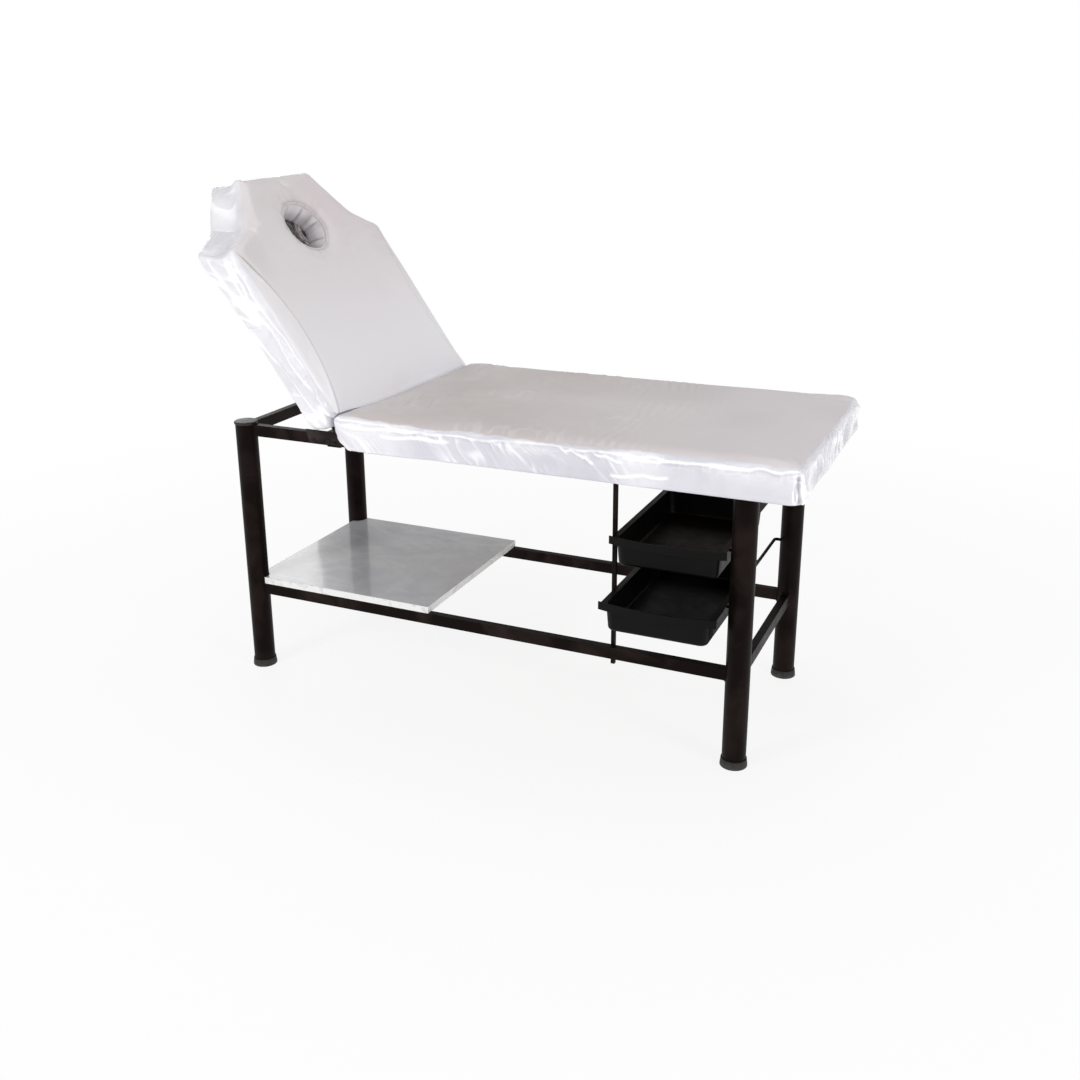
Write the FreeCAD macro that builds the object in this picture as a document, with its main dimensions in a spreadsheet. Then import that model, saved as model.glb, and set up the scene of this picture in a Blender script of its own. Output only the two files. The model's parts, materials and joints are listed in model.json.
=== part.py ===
import FreeCAD, Part
import math
import os
import re

import Sketcher
from FreeCAD import Rotation, Vector

# A facial treatment bed: a welded tube frame on four posts, a padded seat, a padded backrest on two
# ratchet hinges, a head-end shelf and two plastic trays that hang on guide rods.
# Row frame, in millimetres: origin on the floor midway between the posts, +X to the foot end, +Z up.
# The near side is at -Y and the far side at +Y.

SIZES = {
    # frame, placed by the centres of its posts
    "post_x": 672,
    "post_y": 255,
    "post_radius": 28.5,
    "tube_wall": 1.5,
    "foot_sole": 4,
    "head_post_top": 699,
    "foot_post_top": 691.5,
    "cap_radius": 31,
    "cap_top": 702,
    "rail_width": 20,
    "rail_height": 30,
    "upper_rail_z": 665,
    "lower_rail_z": 217,
    "cross_member_x": -407,
    "cross_member_side": 40,
    "seat_rail_x": 200,
    "bumper_radius": 9.5,
    # shelf
    "shelf_head_x": -672,
    "shelf_foot_x": -136,
    "shelf_thickness": 18,
    "edge_band": 1,
    # padding, shared by the seat and the backrest
    "pad_half": 349,
    "board_thickness": 12,
    "board_half": 288,
    "recess_half": 290,
    "cover_thickness": 1.5,
    "seat_corner": 34,
    "head_corner": 24,
    "top_radius": 20,
    "skirt_radius": 10,
    # seat
    "seat_head_x": -316,
    "seat_foot_x": 812,
    "seat_board_z": 695,
    "seat_top": 772,
    "seat_skirt_z": 684,
    "seat_board_head": -311,
    "seat_board_foot": 705,
    # backrest, drawn flat with the hinge axis at its own origin and its head towards -X
    "hinge_x": -361,
    "hinge_z": 708,
    "recline_deg": 55,
    "pad_end": -14,
    "pad_top": 64.6,
    "pad_skirt": -24,
    "shoulder_x": -512,
    "neck_x": -570,
    "neck_half": 252,
    "crown_x": -706,
    "crown_half": 158,
    "board_end": -20,
    "board_shoulder": -478,
    "board_neck": -526,
    "board_neck_half": 211,
    "board_crown": -647,
    "board_crown_half": 127,
    "neck_radius": 70,
    # face hole and the gathered sleeve that lines it
    "hole_x": -540,
    "hole_half_length": 65,
    "hole_half_width": 72.5,
    "sleeve_thickness": 4,
    "sleeve_flange": 15,
    # ratchet hinge, measured outwards from the rail's outer face
    "plate_thickness": 3,
    "arm_gap": 0.3,
    "arm_thickness": 4,
    "cover_plate": 2,
    "hub_radius": 11,
    "sector_radius": 24,
    "steps_below_rest": 7,
    "steps_above_rest": 1,
    "tooth_depth": 4.2,
    "gap_mouth": 1.3,
    "gap_root": 0.6,
    "pivot_pin": 4,
    "pivot_hole": 4.05,
    "pawl_pin": 3,
    "pawl_hole": 3.05,
    "pawl_x": 26,
    "pawl_z": -24,
    "pawl_swing": 11,
    # trays and the rods that carry them
    "upright_x": 356,
    "upright_side": 10,
    "upright_foot": 195,
    "rod_radius": 4,
    "rod_bend": 7,
    "left_weld_x": 366,
    "right_weld_x": 657,
    "left_rod_x": 374,
    "right_rod_x": 632,
    "upper_rod_z": 530,
    "rod_end_y": 240,
    "tray_spacing": 138,
    "lower_tray_pull": 65,
    "tray_x": 503,
    "tray_front_y": -295,
    "tray_back_y": 112,
    "tray_top_half": 123,
    "tray_taper": 4,
    "tray_depth": 62,
    "tray_wall": 2.5,
    "rim_half": 135,
    "rim_back_y": 119,
    "rim_thickness": 3,
    "rod_gap": 0.2,
    "lip_half": 139,
    "lip_radius": 545,
    "lip_bow": 9,
    "lip_drop": 15,
    "lip_rise": 4,
}

doc = FreeCAD.newDocument("FacialBed")
sheet = doc.addObject("Spreadsheet::Sheet", "Sizes")
for row, (word, value) in enumerate(SIZES.items(), start=1):
    sheet.set(f"A{row}", word)
    sheet.set(f"B{row}", str(value))
    sheet.setAlias(f"B{row}", word)
doc.recompute()

SIDES = {"near": -1, "far": 1}
ENDS = {"head": -1, "foot": 1}
PLACE = {"x": "Placement.Base.x", "y": "Placement.Base.y", "z": "Placement.Base.z"}
subparts = []


# ---- Helpers: everything below is driven by formulas in the sheet's words ----


def formula(text):
    """The text with each of the sheet's words turned into a reference to its cell."""

    def reference(found):
        return f"Sizes.{found[0]}" if found[0] in SIZES else found[0]

    return re.sub(r"[a-z]\w*", reference, str(text))


def bind(target, **formulas):
    """Drives the target's properties from the sheet; x, y and z are its place."""
    for name, text in formulas.items():
        target.setExpression(PLACE.get(name, name), formula(text))
    return target


def subpart(target):
    """Marks an object as one of the bed's pieces, exported under its own label."""
    subparts.append(target)
    return target


def box(name, x, y, z, length, width, height):
    """A block whose lowest corner is at x, y, z."""
    return bind(doc.addObject("Part::Box", name), x=x, y=y, z=z, Length=length, Width=width, Height=height)


def cylinder(name, x, y, z, radius, height):
    """An upright cylinder standing on x, y, z."""
    return bind(doc.addObject("Part::Cylinder", name), x=x, y=y, z=z, Radius=radius, Height=height)


def outward_cylinder(name, x, y, z, radius, height):
    """A cylinder that starts at x, y, z and runs towards the near side."""
    solid = doc.addObject("Part::Cylinder", name)
    solid.Placement.Rotation = Rotation(Vector(1, 0, 0), 90)
    return bind(solid, x=x, y=y, z=z, Radius=radius, Height=height)


def cut(name, base, tool):
    solid = doc.addObject("Part::Cut", name)
    solid.Base = base
    solid.Tool = tool
    return solid


def fuse(name, *shapes):
    solid = doc.addObject("Part::MultiFuse", name)
    solid.Shapes = shapes
    return solid


def common(name, *shapes):
    solid = doc.addObject("Part::MultiCommon", name)
    solid.Shapes = shapes
    return solid


def group(name, *shapes):
    """Identical pieces kept as separate solids in one piece of the bed."""
    compound = doc.addObject("Part::Compound", name)
    compound.Links = shapes
    return compound


def far_copy(name, source):
    """The far side's mirror image of a near-side piece."""
    mirror = doc.addObject("Part::Mirroring", name)
    mirror.Source = source
    mirror.Normal = Vector(0, 1, 0)
    return mirror


def body(name):
    return doc.addObject("PartDesign::Body", name)


def origin_feature(owner, role):
    return next(feature for feature in owner.Origin.OriginFeatures if feature.Role == role)


def outline(owner, plane, corners, lift=0):
    """A closed polygon sketch on one of the body's origin planes, every corner driven by the sheet."""
    sketch = owner.newObject("Sketcher::SketchObject", owner.Name + "_outline")
    sketch.AttachmentSupport = [(origin_feature(owner, plane), "")]
    sketch.MapMode = "FlatFace"
    sketch.setExpression("AttachmentOffset.Base.z", formula(lift))
    count = len(corners)
    turn = 2 * math.pi / count
    ring = [Vector(math.cos(turn * i), math.sin(turn * i), 0) for i in range(count)]
    for i in range(count):
        sketch.addGeometry(Part.LineSegment(ring[i], ring[(i + 1) % count]))
    for i in range(count):
        sketch.addConstraint(Sketcher.Constraint("Coincident", i, 2, (i + 1) % count, 1))
    for i, (x, y) in enumerate(corners):
        for kind, start, text in (("DistanceX", ring[i].x, x), ("DistanceY", ring[i].y, y)):
            index = sketch.addConstraint(Sketcher.Constraint(kind, -1, 1, i, 1, start))
            sketch.setExpression(f"Constraints[{index}]", formula(text))
    return sketch


def circle(owner, plane, x, y, radius, lift=0):
    """A circle sketch on one of the body's origin planes, driven by the sheet."""
    sketch = owner.newObject("Sketcher::SketchObject", owner.Name + "_circle")
    sketch.AttachmentSupport = [(origin_feature(owner, plane), "")]
    sketch.MapMode = "FlatFace"
    sketch.setExpression("AttachmentOffset.Base.z", formula(lift))
    sketch.addGeometry(Part.Circle(Vector(1, 1, 0), Vector(0, 0, 1), 1))
    for kind, text in (("DistanceX", x), ("DistanceY", y)):
        index = sketch.addConstraint(Sketcher.Constraint(kind, -1, 1, 0, 3, 1))
        sketch.setExpression(f"Constraints[{index}]", formula(text))
    index = sketch.addConstraint(Sketcher.Constraint("Radius", 0, 1))
    sketch.setExpression(f"Constraints[{index}]", formula(radius))
    return sketch


def pad(owner, sketch, length):
    feature = owner.newObject("PartDesign::Pad", owner.Name + "_pad")
    feature.Profile = sketch
    feature.setExpression("Length", formula(length))
    return feature


def pocket(owner, sketch, length):
    """Cuts through the solid that stands on the sketch, the same way as a pad."""
    feature = owner.newObject("PartDesign::Pocket", owner.Name + "_pocket")
    feature.Profile = sketch
    feature.Reversed = True
    feature.setExpression("Length", formula(length))
    return feature


def prism(name, plane, corners, length, lift=0):
    """A body padded from one polygon."""
    owner = body(name)
    pad(owner, outline(owner, plane, corners, lift), length)
    return owner


def turned(name, corners):
    """A body turned about the upright axis from a profile of radius and height."""
    owner = body(name)
    feature = owner.newObject("PartDesign::Revolution", name + "_turn")
    feature.Profile = outline(owner, "XZ_Plane", corners)
    feature.ReferenceAxis = (origin_feature(owner, "Z_Axis"), [""])
    feature.Angle = 360
    return owner


def fillet(owner, base, radius, wanted):
    """Rounds the edges of base that the test picks out."""
    doc.recompute()
    names = [f"Edge{i}" for i, edge in enumerate(base.Shape.Edges, start=1) if wanted(edge)]
    feature = owner.newObject("PartDesign::Fillet", owner.Name + "_fillet")
    feature.Base = (base, names)
    feature.setExpression("Radius", formula(radius))
    return feature


def rises(edge):
    """True for an edge that climbs instead of lying level."""
    return edge.BoundBox.ZLength > 1


def level_at(height):
    """A test for edges that lie level at a height."""
    return lambda edge: edge.BoundBox.ZLength < 0.01 and abs(edge.BoundBox.ZMin - height) < 0.01


def size(word):
    return float(sheet.get(word))


# ---- Posts, their caps and feet ----

post_cores = group(
    "post_cores",
    *[
        cylinder(f"core_{end}_{side}", f"{e} * post_x", f"{s} * post_y", 0, "post_radius", 800)
        for end, e in ENDS.items()
        for side, s in SIDES.items()
    ],
)

for end, e in ENDS.items():
    for side, s in SIDES.items():
        place = (f"{e} * post_x", f"{s} * post_y", "foot_sole")
        height = f"{end}_post_top - foot_sole"
        outer = cylinder(f"post_{end}_{side}_outer", *place, "post_radius", height)
        bore = cylinder(f"post_{end}_{side}_bore", *place, "post_radius - tube_wall", height)
        subpart(cut(f"post_{end}_{side}", outer, bore))


def at_posts(name, source, ends):
    """Copies of a turned piece on the posts of the given ends."""
    doc.recompute()
    copies = []
    for end in ends:
        for s in SIDES.values():
            copy = source.Shape.copy()
            copy.translate(Vector(ENDS[end] * size("post_x"), s * size("post_y"), 0))
            copies.append(copy)
    feature = doc.addObject("Part::Feature", name)
    feature.Shape = Part.makeCompound(copies)
    return subpart(feature)


foot = turned(
    "rubber_foot",
    [
        (0, 0),
        ("post_radius + 4", 0),
        ("post_radius + 4", 4),
        ("post_radius + 2", 20),
        ("post_radius", 20),
        ("post_radius", "foot_sole"),
        (0, "foot_sole"),
    ],
)
at_posts("rubber_feet", foot, ["head", "foot"])

head_cap = turned(
    "head_cap",
    [
        (0, "head_post_top"),
        ("post_radius", "head_post_top"),
        ("post_radius", "upper_rail_z + rail_height + 0.3"),
        ("cap_radius", "upper_rail_z + rail_height + 0.3"),
        ("cap_radius", "cap_top - 2"),
        ("cap_radius - 2", "cap_top"),
        (0, "cap_top"),
    ],
)
at_posts("head_post_caps", head_cap, ["head"])

foot_plug = turned(
    "foot_plug",
    [
        (0, "foot_post_top - 18"),
        ("post_radius - tube_wall - 0.5", "foot_post_top - 18"),
        ("post_radius - tube_wall - 0.5", "foot_post_top"),
        ("post_radius", "foot_post_top"),
        ("post_radius", "foot_post_top + 2"),
        (0, "foot_post_top + 2"),
    ],
)
at_posts("foot_post_plugs", foot_plug, ["foot"])

# ---- Rails: rectangular tubes, coped to the round posts ----


def tube_along_x(name, y, z, low, high):
    """A rail of rectangular tube from x = low to x = high, centred on y."""
    length = f"{high} - ({low})"
    outer = box(name + "_outer", low, f"{y} - rail_width / 2", z, length, "rail_width", "rail_height")
    bore = box(
        name + "_bore",
        low,
        f"{y} - rail_width / 2 + tube_wall",
        f"{z} + tube_wall",
        length,
        "rail_width - 2 * tube_wall",
        "rail_height - 2 * tube_wall",
    )
    return subpart(cut(name, cut(name + "_tube", outer, bore), post_cores))


def tube_along_y(name, x, z, width, height, half):
    """A cross rail of rectangular tube, centred on x, reaching half to each side."""
    outer = box(name + "_outer", f"{x} - {width} / 2", f"-({half})", z, width, f"2 * ({half})", height)
    bore = box(
        name + "_bore",
        f"{x} - {width} / 2 + tube_wall",
        f"-({half})",
        f"{z} + tube_wall",
        f"{width} - 2 * tube_wall",
        f"2 * ({half})",
        f"{height} - 2 * tube_wall",
    )
    return subpart(cut(name, cut(name + "_tube", outer, bore), post_cores))


for level in ("upper", "lower"):
    for side, s in SIDES.items():
        tube_along_x(f"{level}_rail_{side}", f"{s} * post_y", f"{level}_rail_z", "-post_x", "post_x")
    for end, e in ENDS.items():
        place = (f"{e} * post_x", f"{level}_rail_z")
        tube_along_y(f"{level}_rail_{end}", *place, "rail_width", "rail_height", "post_y")

between_rails = "post_y - rail_width / 2"
cross_member_z = "upper_rail_z + rail_height - cross_member_side"
cross_member_size = ("cross_member_side", "cross_member_side")
tube_along_y("hinge_cross_member", "cross_member_x", cross_member_z, *cross_member_size, between_rails)
tube_along_y("seat_cross_rail", "seat_rail_x", "upper_rail_z", "rail_width", "rail_height", between_rails)

bumper_height = "hinge_z - 0.2 - upper_rail_z - rail_height"
bumper_place = ("-post_x", "0", "upper_rail_z + rail_height")
subpart(cylinder("backrest_bumper", *bumper_place, "bumper_radius", bumper_height))

# ---- Shelf: a laminated board with an edge band, notched round the head posts ----

shelf_z = "lower_rail_z + rail_height"
rail_face = "post_y + rail_width / 2"
shelf_length = "shelf_foot_x - shelf_head_x"
post_notches = group(
    "post_notches",
    *[
        cylinder(f"notch_{side}", "-post_x", f"{s} * post_y", 0, "post_radius + 1", 800)
        for side, s in SIDES.items()
    ],
)
shelf_blank = box(
    "shelf_blank",
    "shelf_head_x",
    f"-({rail_face})",
    shelf_z,
    shelf_length,
    f"2 * ({rail_face})",
    "shelf_thickness",
)
shelf_core = box(
    "shelf_core",
    "shelf_head_x + edge_band",
    f"edge_band - ({rail_face})",
    shelf_z,
    f"{shelf_length} - 2 * edge_band",
    f"2 * ({rail_face} - edge_band)",
    "shelf_thickness",
)
subpart(cut("shelf_board", shelf_core, post_notches))
subpart(cut("shelf_edge_band", cut("shelf_band_blank", shelf_blank, shelf_core), post_notches))

# ---- Screws: button heads with a hexagon socket ----

head_dome = turned("screw_dome", [(0, 0), (6, 0), (6, 1.2), (4.6, 2.6), (2.5, 3.2), (0, 3.2)])
socket = doc.addObject("Part::Prism", "screw_socket")
socket.Polygon = 6
socket.Circumradius = 2.2
socket.Height = 4
socket.Placement.Base = Vector(0, 0, 1.6)
screw_head = cut("screw_head", head_dome, socket)


def screws(name, places, direction):
    """Screw heads at the given places, standing out along a direction."""
    doc.recompute()
    heads = []
    for place in places:
        head = screw_head.Shape.copy()
        head.Placement = FreeCAD.Placement(place, Rotation(Vector(0, 0, 1), direction))
        heads.append(head)
    feature = doc.addObject("Part::Feature", name)
    feature.Shape = Part.makeCompound(heads)
    return feature


def both_sides(xs, y, z):
    return [Vector(x, s * y, z) for x in xs for s in SIDES.values()]


down = Vector(0, 0, -1)
shelf_screw_xs = [-600, -400, -200]
seat_screw_xs = [-240, 60, 320, 600]
subpart(screws("shelf_screws", both_sides(shelf_screw_xs, size("post_y"), size("lower_rail_z")), down))
subpart(screws("seat_screws", both_sides(seat_screw_xs, size("post_y"), size("upper_rail_z")), down))

# ---- Padding: a plywood board let into a foam block, and a vinyl cover over the foam ----


def padded_form(name, corners, bottom, top, radius, inset):
    """A padded panel's rounded form, drawn in by inset; each corner holds x, y and its inset shares."""
    owner = body(name)
    drawn = [(f"{x} + {i * inset}", f"{y} + {j * inset}") for x, y, i, j in corners]
    sketch = outline(owner, "XY_Plane", drawn, f"{bottom} + {inset}")
    base = pad(owner, sketch, f"{top} - ({bottom}) - {2 * inset}")
    doc.recompute()
    low = base.Shape.BoundBox.ZMin
    high = base.Shape.BoundBox.ZMax

    def near_neck(edge, reach):
        centre = edge.BoundBox.Center
        return math.hypot(centre.x - size("neck_x"), abs(centre.y) - size("neck_half")) < reach

    def corner(edge):
        return rises(edge) and edge.Curve.TypeId == "Part::GeomLine" and not near_neck(edge, 60)

    if any(rises(edge) and near_neck(edge, 5) for edge in base.Shape.Edges):
        base = fillet(owner, base, "neck_radius", lambda edge: rises(edge) and near_neck(edge, 5))
    base = fillet(owner, base, f"{radius} - {inset}", corner)
    base = fillet(owner, base, f"top_radius - {inset}", level_at(high))
    fillet(owner, base, f"skirt_radius - {inset}", level_at(low))
    return owner


def padded_panel(name, corners, bottom, top, radius, board, recess, hole=None):
    """The board, foam and cover of one padded panel; the recess lets the panel sit over the frame."""
    thickness = size("cover_thickness")
    outer = padded_form(name + "_outer", corners, bottom, top, radius, 0)
    inner = padded_form(name + "_inner", corners, bottom, top, radius, thickness)
    hollow = [board, recess] if hole is None else [board, recess, hole]
    hollows = group(name + "_hollows", *hollow)
    foam = cut(name + "_foam", inner, hollows)
    cover = cut(name + "_cover", cut(name + "_skin", outer, inner), hollows)
    return foam, cover


# Seat

seat_corners = [
    ("seat_head_x", "-pad_half", 1, 1),
    ("seat_foot_x", "-pad_half", -1, 1),
    ("seat_foot_x", "pad_half", -1, -1),
    ("seat_head_x", "pad_half", 1, -1),
]
seat_board = box(
    "seat_board",
    "seat_board_head",
    "-board_half",
    "seat_board_z",
    "seat_board_foot - seat_board_head",
    "2 * board_half",
    "board_thickness",
)
seat_recess = box(
    "seat_recess",
    "seat_head_x - 40",
    "-recess_half",
    "seat_board_z - 40",
    "seat_board_foot + 2 - seat_head_x + 40",
    "2 * recess_half",
    40,
)
subpart(seat_board)
seat_levels = ("seat_skirt_z", "seat_top")
for piece in padded_panel("seat", seat_corners, *seat_levels, "seat_corner", seat_board, seat_recess):
    subpart(piece)

# Backrest, built flat about the hinge axis and then tilted

reclined = FreeCAD.Placement(
    Vector(size("hinge_x"), 0, size("hinge_z")), Rotation(Vector(0, 1, 0), size("recline_deg"))
)


def tilt(target):
    """Puts a piece that was drawn flat about the hinge axis at the backrest's rest angle."""
    target.Placement = reclined
    bind(target, x="hinge_x", z="hinge_z")
    target.setExpression("Placement.Rotation.Angle", formula("recline_deg"))
    return subpart(target)


def mirrored_outline(half):
    """A whole outline from its near-side corners, listed from the hinge end to the crown."""
    return half + [(x, f"-({y})") for x, y in reversed(half)]


def board_outline(start):
    """The backrest board's outline, or the recess under it, which starts nearer to the hinge."""
    near = [
        (start, "-board_half"),
        ("board_shoulder", "-board_half"),
        ("board_neck", "-board_neck_half"),
        ("board_crown", "-board_crown_half"),
    ]
    return mirrored_outline(near)


def oval(name, grow, low, high):
    """An oval plug round the face hole's axis, grown by a margin, from low to high."""
    edge = bind(doc.addObject("Part::Ellipse", name + "_edge"), x="hole_x", z=low)
    edge.Placement.Rotation = Rotation(Vector(0, 0, 1), 90)
    bind(edge, MajorRadius=f"hole_half_width + {grow}", MinorRadius=f"hole_half_length + {grow}")
    plug = doc.addObject("Part::Extrusion", name)
    plug.Base = edge
    plug.DirMode = "Custom"
    plug.Dir = Vector(0, 0, 1)
    plug.Solid = True
    plug.setExpression("LengthFwd", formula(f"{high} - ({low})"))
    return plug


backrest_corners = [
    ("pad_end", "-pad_half", -1, 1),
    ("shoulder_x", "-pad_half", 0.57, 1),
    ("neck_x", "-neck_half", 0.75, 0.7),
    ("crown_x", "-crown_half", 1, 0.52),
    ("crown_x", "crown_half", 1, -0.52),
    ("neck_x", "neck_half", 0.75, -0.7),
    ("shoulder_x", "pad_half", 0.57, -1),
    ("pad_end", "pad_half", -1, -1),
]
hole_plug = oval("hole_plug", "sleeve_thickness", "pad_skirt - 10", "pad_top + 10")
board_blank = prism("board_blank", "XY_Plane", board_outline("board_end"), "board_thickness")
backrest_recess = prism("backrest_recess", "XY_Plane", board_outline(0), 40, -40)
tilt(cut("backrest_board", board_blank, hole_plug))
backrest_hollows = (board_blank, backrest_recess, hole_plug)
for piece in padded_panel(
    "backrest", backrest_corners, "pad_skirt", "pad_top", "head_corner", *backrest_hollows
):
    tilt(piece)

sleeve_outer = oval("sleeve_outer", "sleeve_thickness", 0, "pad_top")
sleeve_flange = oval("sleeve_flange", "sleeve_thickness + sleeve_flange", -1.5, 0)
sleeve_hole = oval("sleeve_hole", 0, -5, "pad_top + 5")
tilt(cut("face_hole_sleeve", fuse("sleeve_blank", sleeve_outer, sleeve_flange), sleeve_hole))


# Staples that hold the folded edge of each cover to the underside of its board

STAPLE = Vector(10, 1.2, 0.6)


def staple_row(start, end, spacing, inset):
    """Staples in a line from start to end, inset to its left, with none over the long rails."""
    rail_clearance = 17.5
    along = (end - start).normalize()
    inward = Vector(-along.y, along.x, 0)
    count = int((end - start).Length // spacing)
    first = ((end - start).Length - (count - 1) * spacing) / 2
    row = []
    for i in range(count):
        place = start + along * (first + i * spacing) + inward * inset
        if abs(abs(place.y) - size("post_y")) < rail_clearance:
            continue
        crown = Part.makeBox(*STAPLE, Vector(-STAPLE.x / 2, -STAPLE.y / 2, -STAPLE.z))
        turn = math.degrees(math.atan2(along.y, along.x))
        crown.Placement = FreeCAD.Placement(place, Rotation(Vector(0, 0, 1), turn))
        row.append(crown)
    return row


def staples(name, corners, height):
    """A row of staples along each side of the outline, which runs anticlockwise seen from above."""
    crowns = []
    for start, end in zip(corners, corners[1:] + corners[:1]):
        crowns += staple_row(start, end, 46, 8)
    feature = doc.addObject("Part::Feature", name)
    feature.Shape = Part.makeCompound(crowns)
    feature.Placement.Base = Vector(0, 0, height)
    return feature


half = size("board_half")
seat_edge = [
    Vector(size("seat_board_head"), -half, 0),
    Vector(size("seat_board_foot"), -half, 0),
    Vector(size("seat_board_foot"), half, 0),
    Vector(size("seat_board_head"), half, 0),
]
subpart(staples("seat_staples", seat_edge, size("seat_board_z")))

backrest_edge = [
    Vector(size("board_end"), half, 0),
    Vector(size("board_shoulder"), half, 0),
    Vector(size("board_neck"), size("board_neck_half"), 0),
    Vector(size("board_crown"), size("board_crown_half"), 0),
    Vector(size("board_crown"), -size("board_crown_half"), 0),
    Vector(size("board_neck"), -size("board_neck_half"), 0),
    Vector(size("board_shoulder"), -half, 0),
    Vector(size("board_end"), -half, 0),
]
tilt(staples("backrest_staples", backrest_edge, 0))

# ---- Ratchet hinges, drawn about the hinge axis on the near side; the far side is the mirror image ----

plate_y = "post_y + rail_width / 2"
arm_y = f"{plate_y} + plate_thickness + arm_gap"
cover_y = f"{arm_y} + arm_thickness + arm_gap"
arm_flange_thickness = 3
arm_length = 140
arm_depth = 22


def hinge_piece(name, corners, lift, thickness, holes):
    """A flat hinge piece in an upright plane, with holes given as x, z and radius."""
    owner = body(name)
    pad(owner, outline(owner, "XZ_Plane", corners, lift), thickness)
    for x, z, radius in holes:
        pocket(owner, circle(owner, "XZ_Plane", x, z, radius, lift), thickness)
    return owner


def at_hinge(target):
    return bind(target, x="hinge_x", z="hinge_z")


def pair(source):
    """Both hinges' copies of a piece."""
    subpart(source)
    return subpart(far_copy(source.Name.replace("near", "far"), source))


pivot = (0.001, 0.001, "pivot_hole")
pawl_pivot = ("pawl_x", "pawl_z", "pawl_hole")
ear = [(12, 5), (5, 12), (-5, 12), (-12, 5)]
fixed_corners = [(-114, -5), (-104, -40), (36, -40), (36, -16), (12, -10), *ear, (-12, -5)]
fixed_plate = hinge_piece("hinge_plate_near", fixed_corners, plate_y, "plate_thickness", [pivot, pawl_pivot])
pair(at_hinge(fixed_plate))

cover_corners = [(-12, -20), (0, -31), (22, -34), (35, -27), (35, -18), (14, -6), *ear]
cover_plate = hinge_piece("hinge_cover_near", cover_corners, cover_y, "cover_plate", [pivot, pawl_pivot])
pair(at_hinge(cover_plate))

# The moving arm: a toothed sector below the hub, a leg along the board and a flange under the board

arm = body("ratchet_arm_near")
sector = [(0, 0)]
for i in range(12):
    angle = math.radians(-7 + 7 * i)
    sector.append((f"sector_radius * {math.sin(angle):.4f}", f"sector_radius * {-math.cos(angle):.4f}"))
leg = [(0, "hub_radius - 1"), (-12, 0), (-arm_length, 0), (-arm_length, -12), (-arm_length + 10, -arm_depth)]
leg += [(-24, -arm_depth), (-10, -arm_depth)]
arm_outline = leg + sector[1:] + [("hub_radius", 6), (5, "hub_radius - 1")]
pad(arm, outline(arm, "XZ_Plane", arm_outline, arm_y), "arm_thickness")
pocket(arm, circle(arm, "XZ_Plane", *pivot, arm_y), "arm_thickness")
gap_corners = [
    ("-gap_mouth", "-sector_radius - 1"),
    ("gap_mouth", "-sector_radius - 1"),
    ("gap_root", "tooth_depth - sector_radius"),
    ("-gap_root", "tooth_depth - sector_radius"),
]
first_gap = pocket(arm, outline(arm, "XZ_Plane", gap_corners, arm_y), "arm_thickness")
doc.recompute()
gaps = arm.newObject("PartDesign::PolarPattern", "tooth_gaps_pattern")
gaps.Originals = [first_gap]
gaps.Axis = (origin_feature(arm, "Y_Axis"), [""])
gaps.Reversed = True
gaps.setExpression("Angle", formula("recline_deg * (1 + steps_above_rest / steps_below_rest)"))
gaps.setExpression("Occurrences", formula("steps_below_rest + steps_above_rest + 1"))
arm.Tip = gaps
flange = box(
    "arm_flange",
    -arm_length,
    f"-({arm_y} + arm_thickness)",
    -arm_flange_thickness,
    arm_length - 24,
    f"{arm_y} + arm_thickness - post_y + rail_width / 2",
    arm_flange_thickness,
)
arm.Label = "ratchet_arm_blank"
arm_near = fuse("ratchet_arm_leg_near", arm, flange)
arm_near.Label = "ratchet_arm_near"
tilt(arm_near)
arm_far = subpart(far_copy("ratchet_arm_far", arm_near))
arm_screw_places = both_sides([-50, -88, -126], size("post_y") - 2, -arm_flange_thickness)
tilt(screws("arm_screws", arm_screw_places, down))

# The pawl, drawn about its own pin with its nose in a gap, then swung clear of the teeth

nose_x = "-pawl_x"
nose_tip = "tooth_depth - sector_radius - 0.5 - pawl_z"
nose_root = "-sector_radius - 0.5 - pawl_z"
nose = [
    (f"{nose_x} + 0.9", nose_root),
    (f"{nose_x} + 0.3", nose_tip),
    (f"{nose_x} - 0.3", nose_tip),
    (f"{nose_x} - 0.9", nose_root),
]
nose_back = [(f"{nose_x} - 3.5", -3), (f"{nose_x} - 1", -5.5)]
pawl_corners = [(6, 2), (4, 6), (-4, 5), (-10, 1), *nose, *nose_back, (-6, -6), (4, -5)]
pawl = hinge_piece("pawl_near", pawl_corners, arm_y, "arm_thickness", [(0.001, 0.001, "pawl_hole")])
pawl.Placement.Rotation = Rotation(Vector(0, -1, 0), size("pawl_swing"))
pawl.setExpression("Placement.Rotation.Angle", formula("pawl_swing"))
pair(bind(pawl, x="hinge_x + pawl_x", z="hinge_z + pawl_z"))

# A leaf spring under each pawl, riveted to the plate at its far end

leaf_under = [(-26, -28), (-26, -35), (-24, -36), (12, -36)]
leaf_over = [(12, -35.2), (-23.5, -35.2), (-25.2, -34.6), (-25.2, -28)]
leaf_corners = leaf_under + leaf_over
leaf = prism("pawl_spring_near", "XZ_Plane", leaf_corners, "arm_thickness - 1", f"{arm_y} + 0.5")
pair(at_hinge(leaf))


def rivet(name, x, z, radius, start):
    """A rivet from inside the plate to outside the cover plate, with a head at its outer end."""
    inner = f"-({start})"
    outer = f"-({cover_y} + cover_plate)"
    shaft = outward_cylinder(name + "_shaft", x, inner, z, radius, f"{cover_y} + cover_plate - ({start})")
    head = outward_cylinder(name + "_head", x, outer, z, f"{radius} + 3", 2)
    return shaft, head


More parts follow.
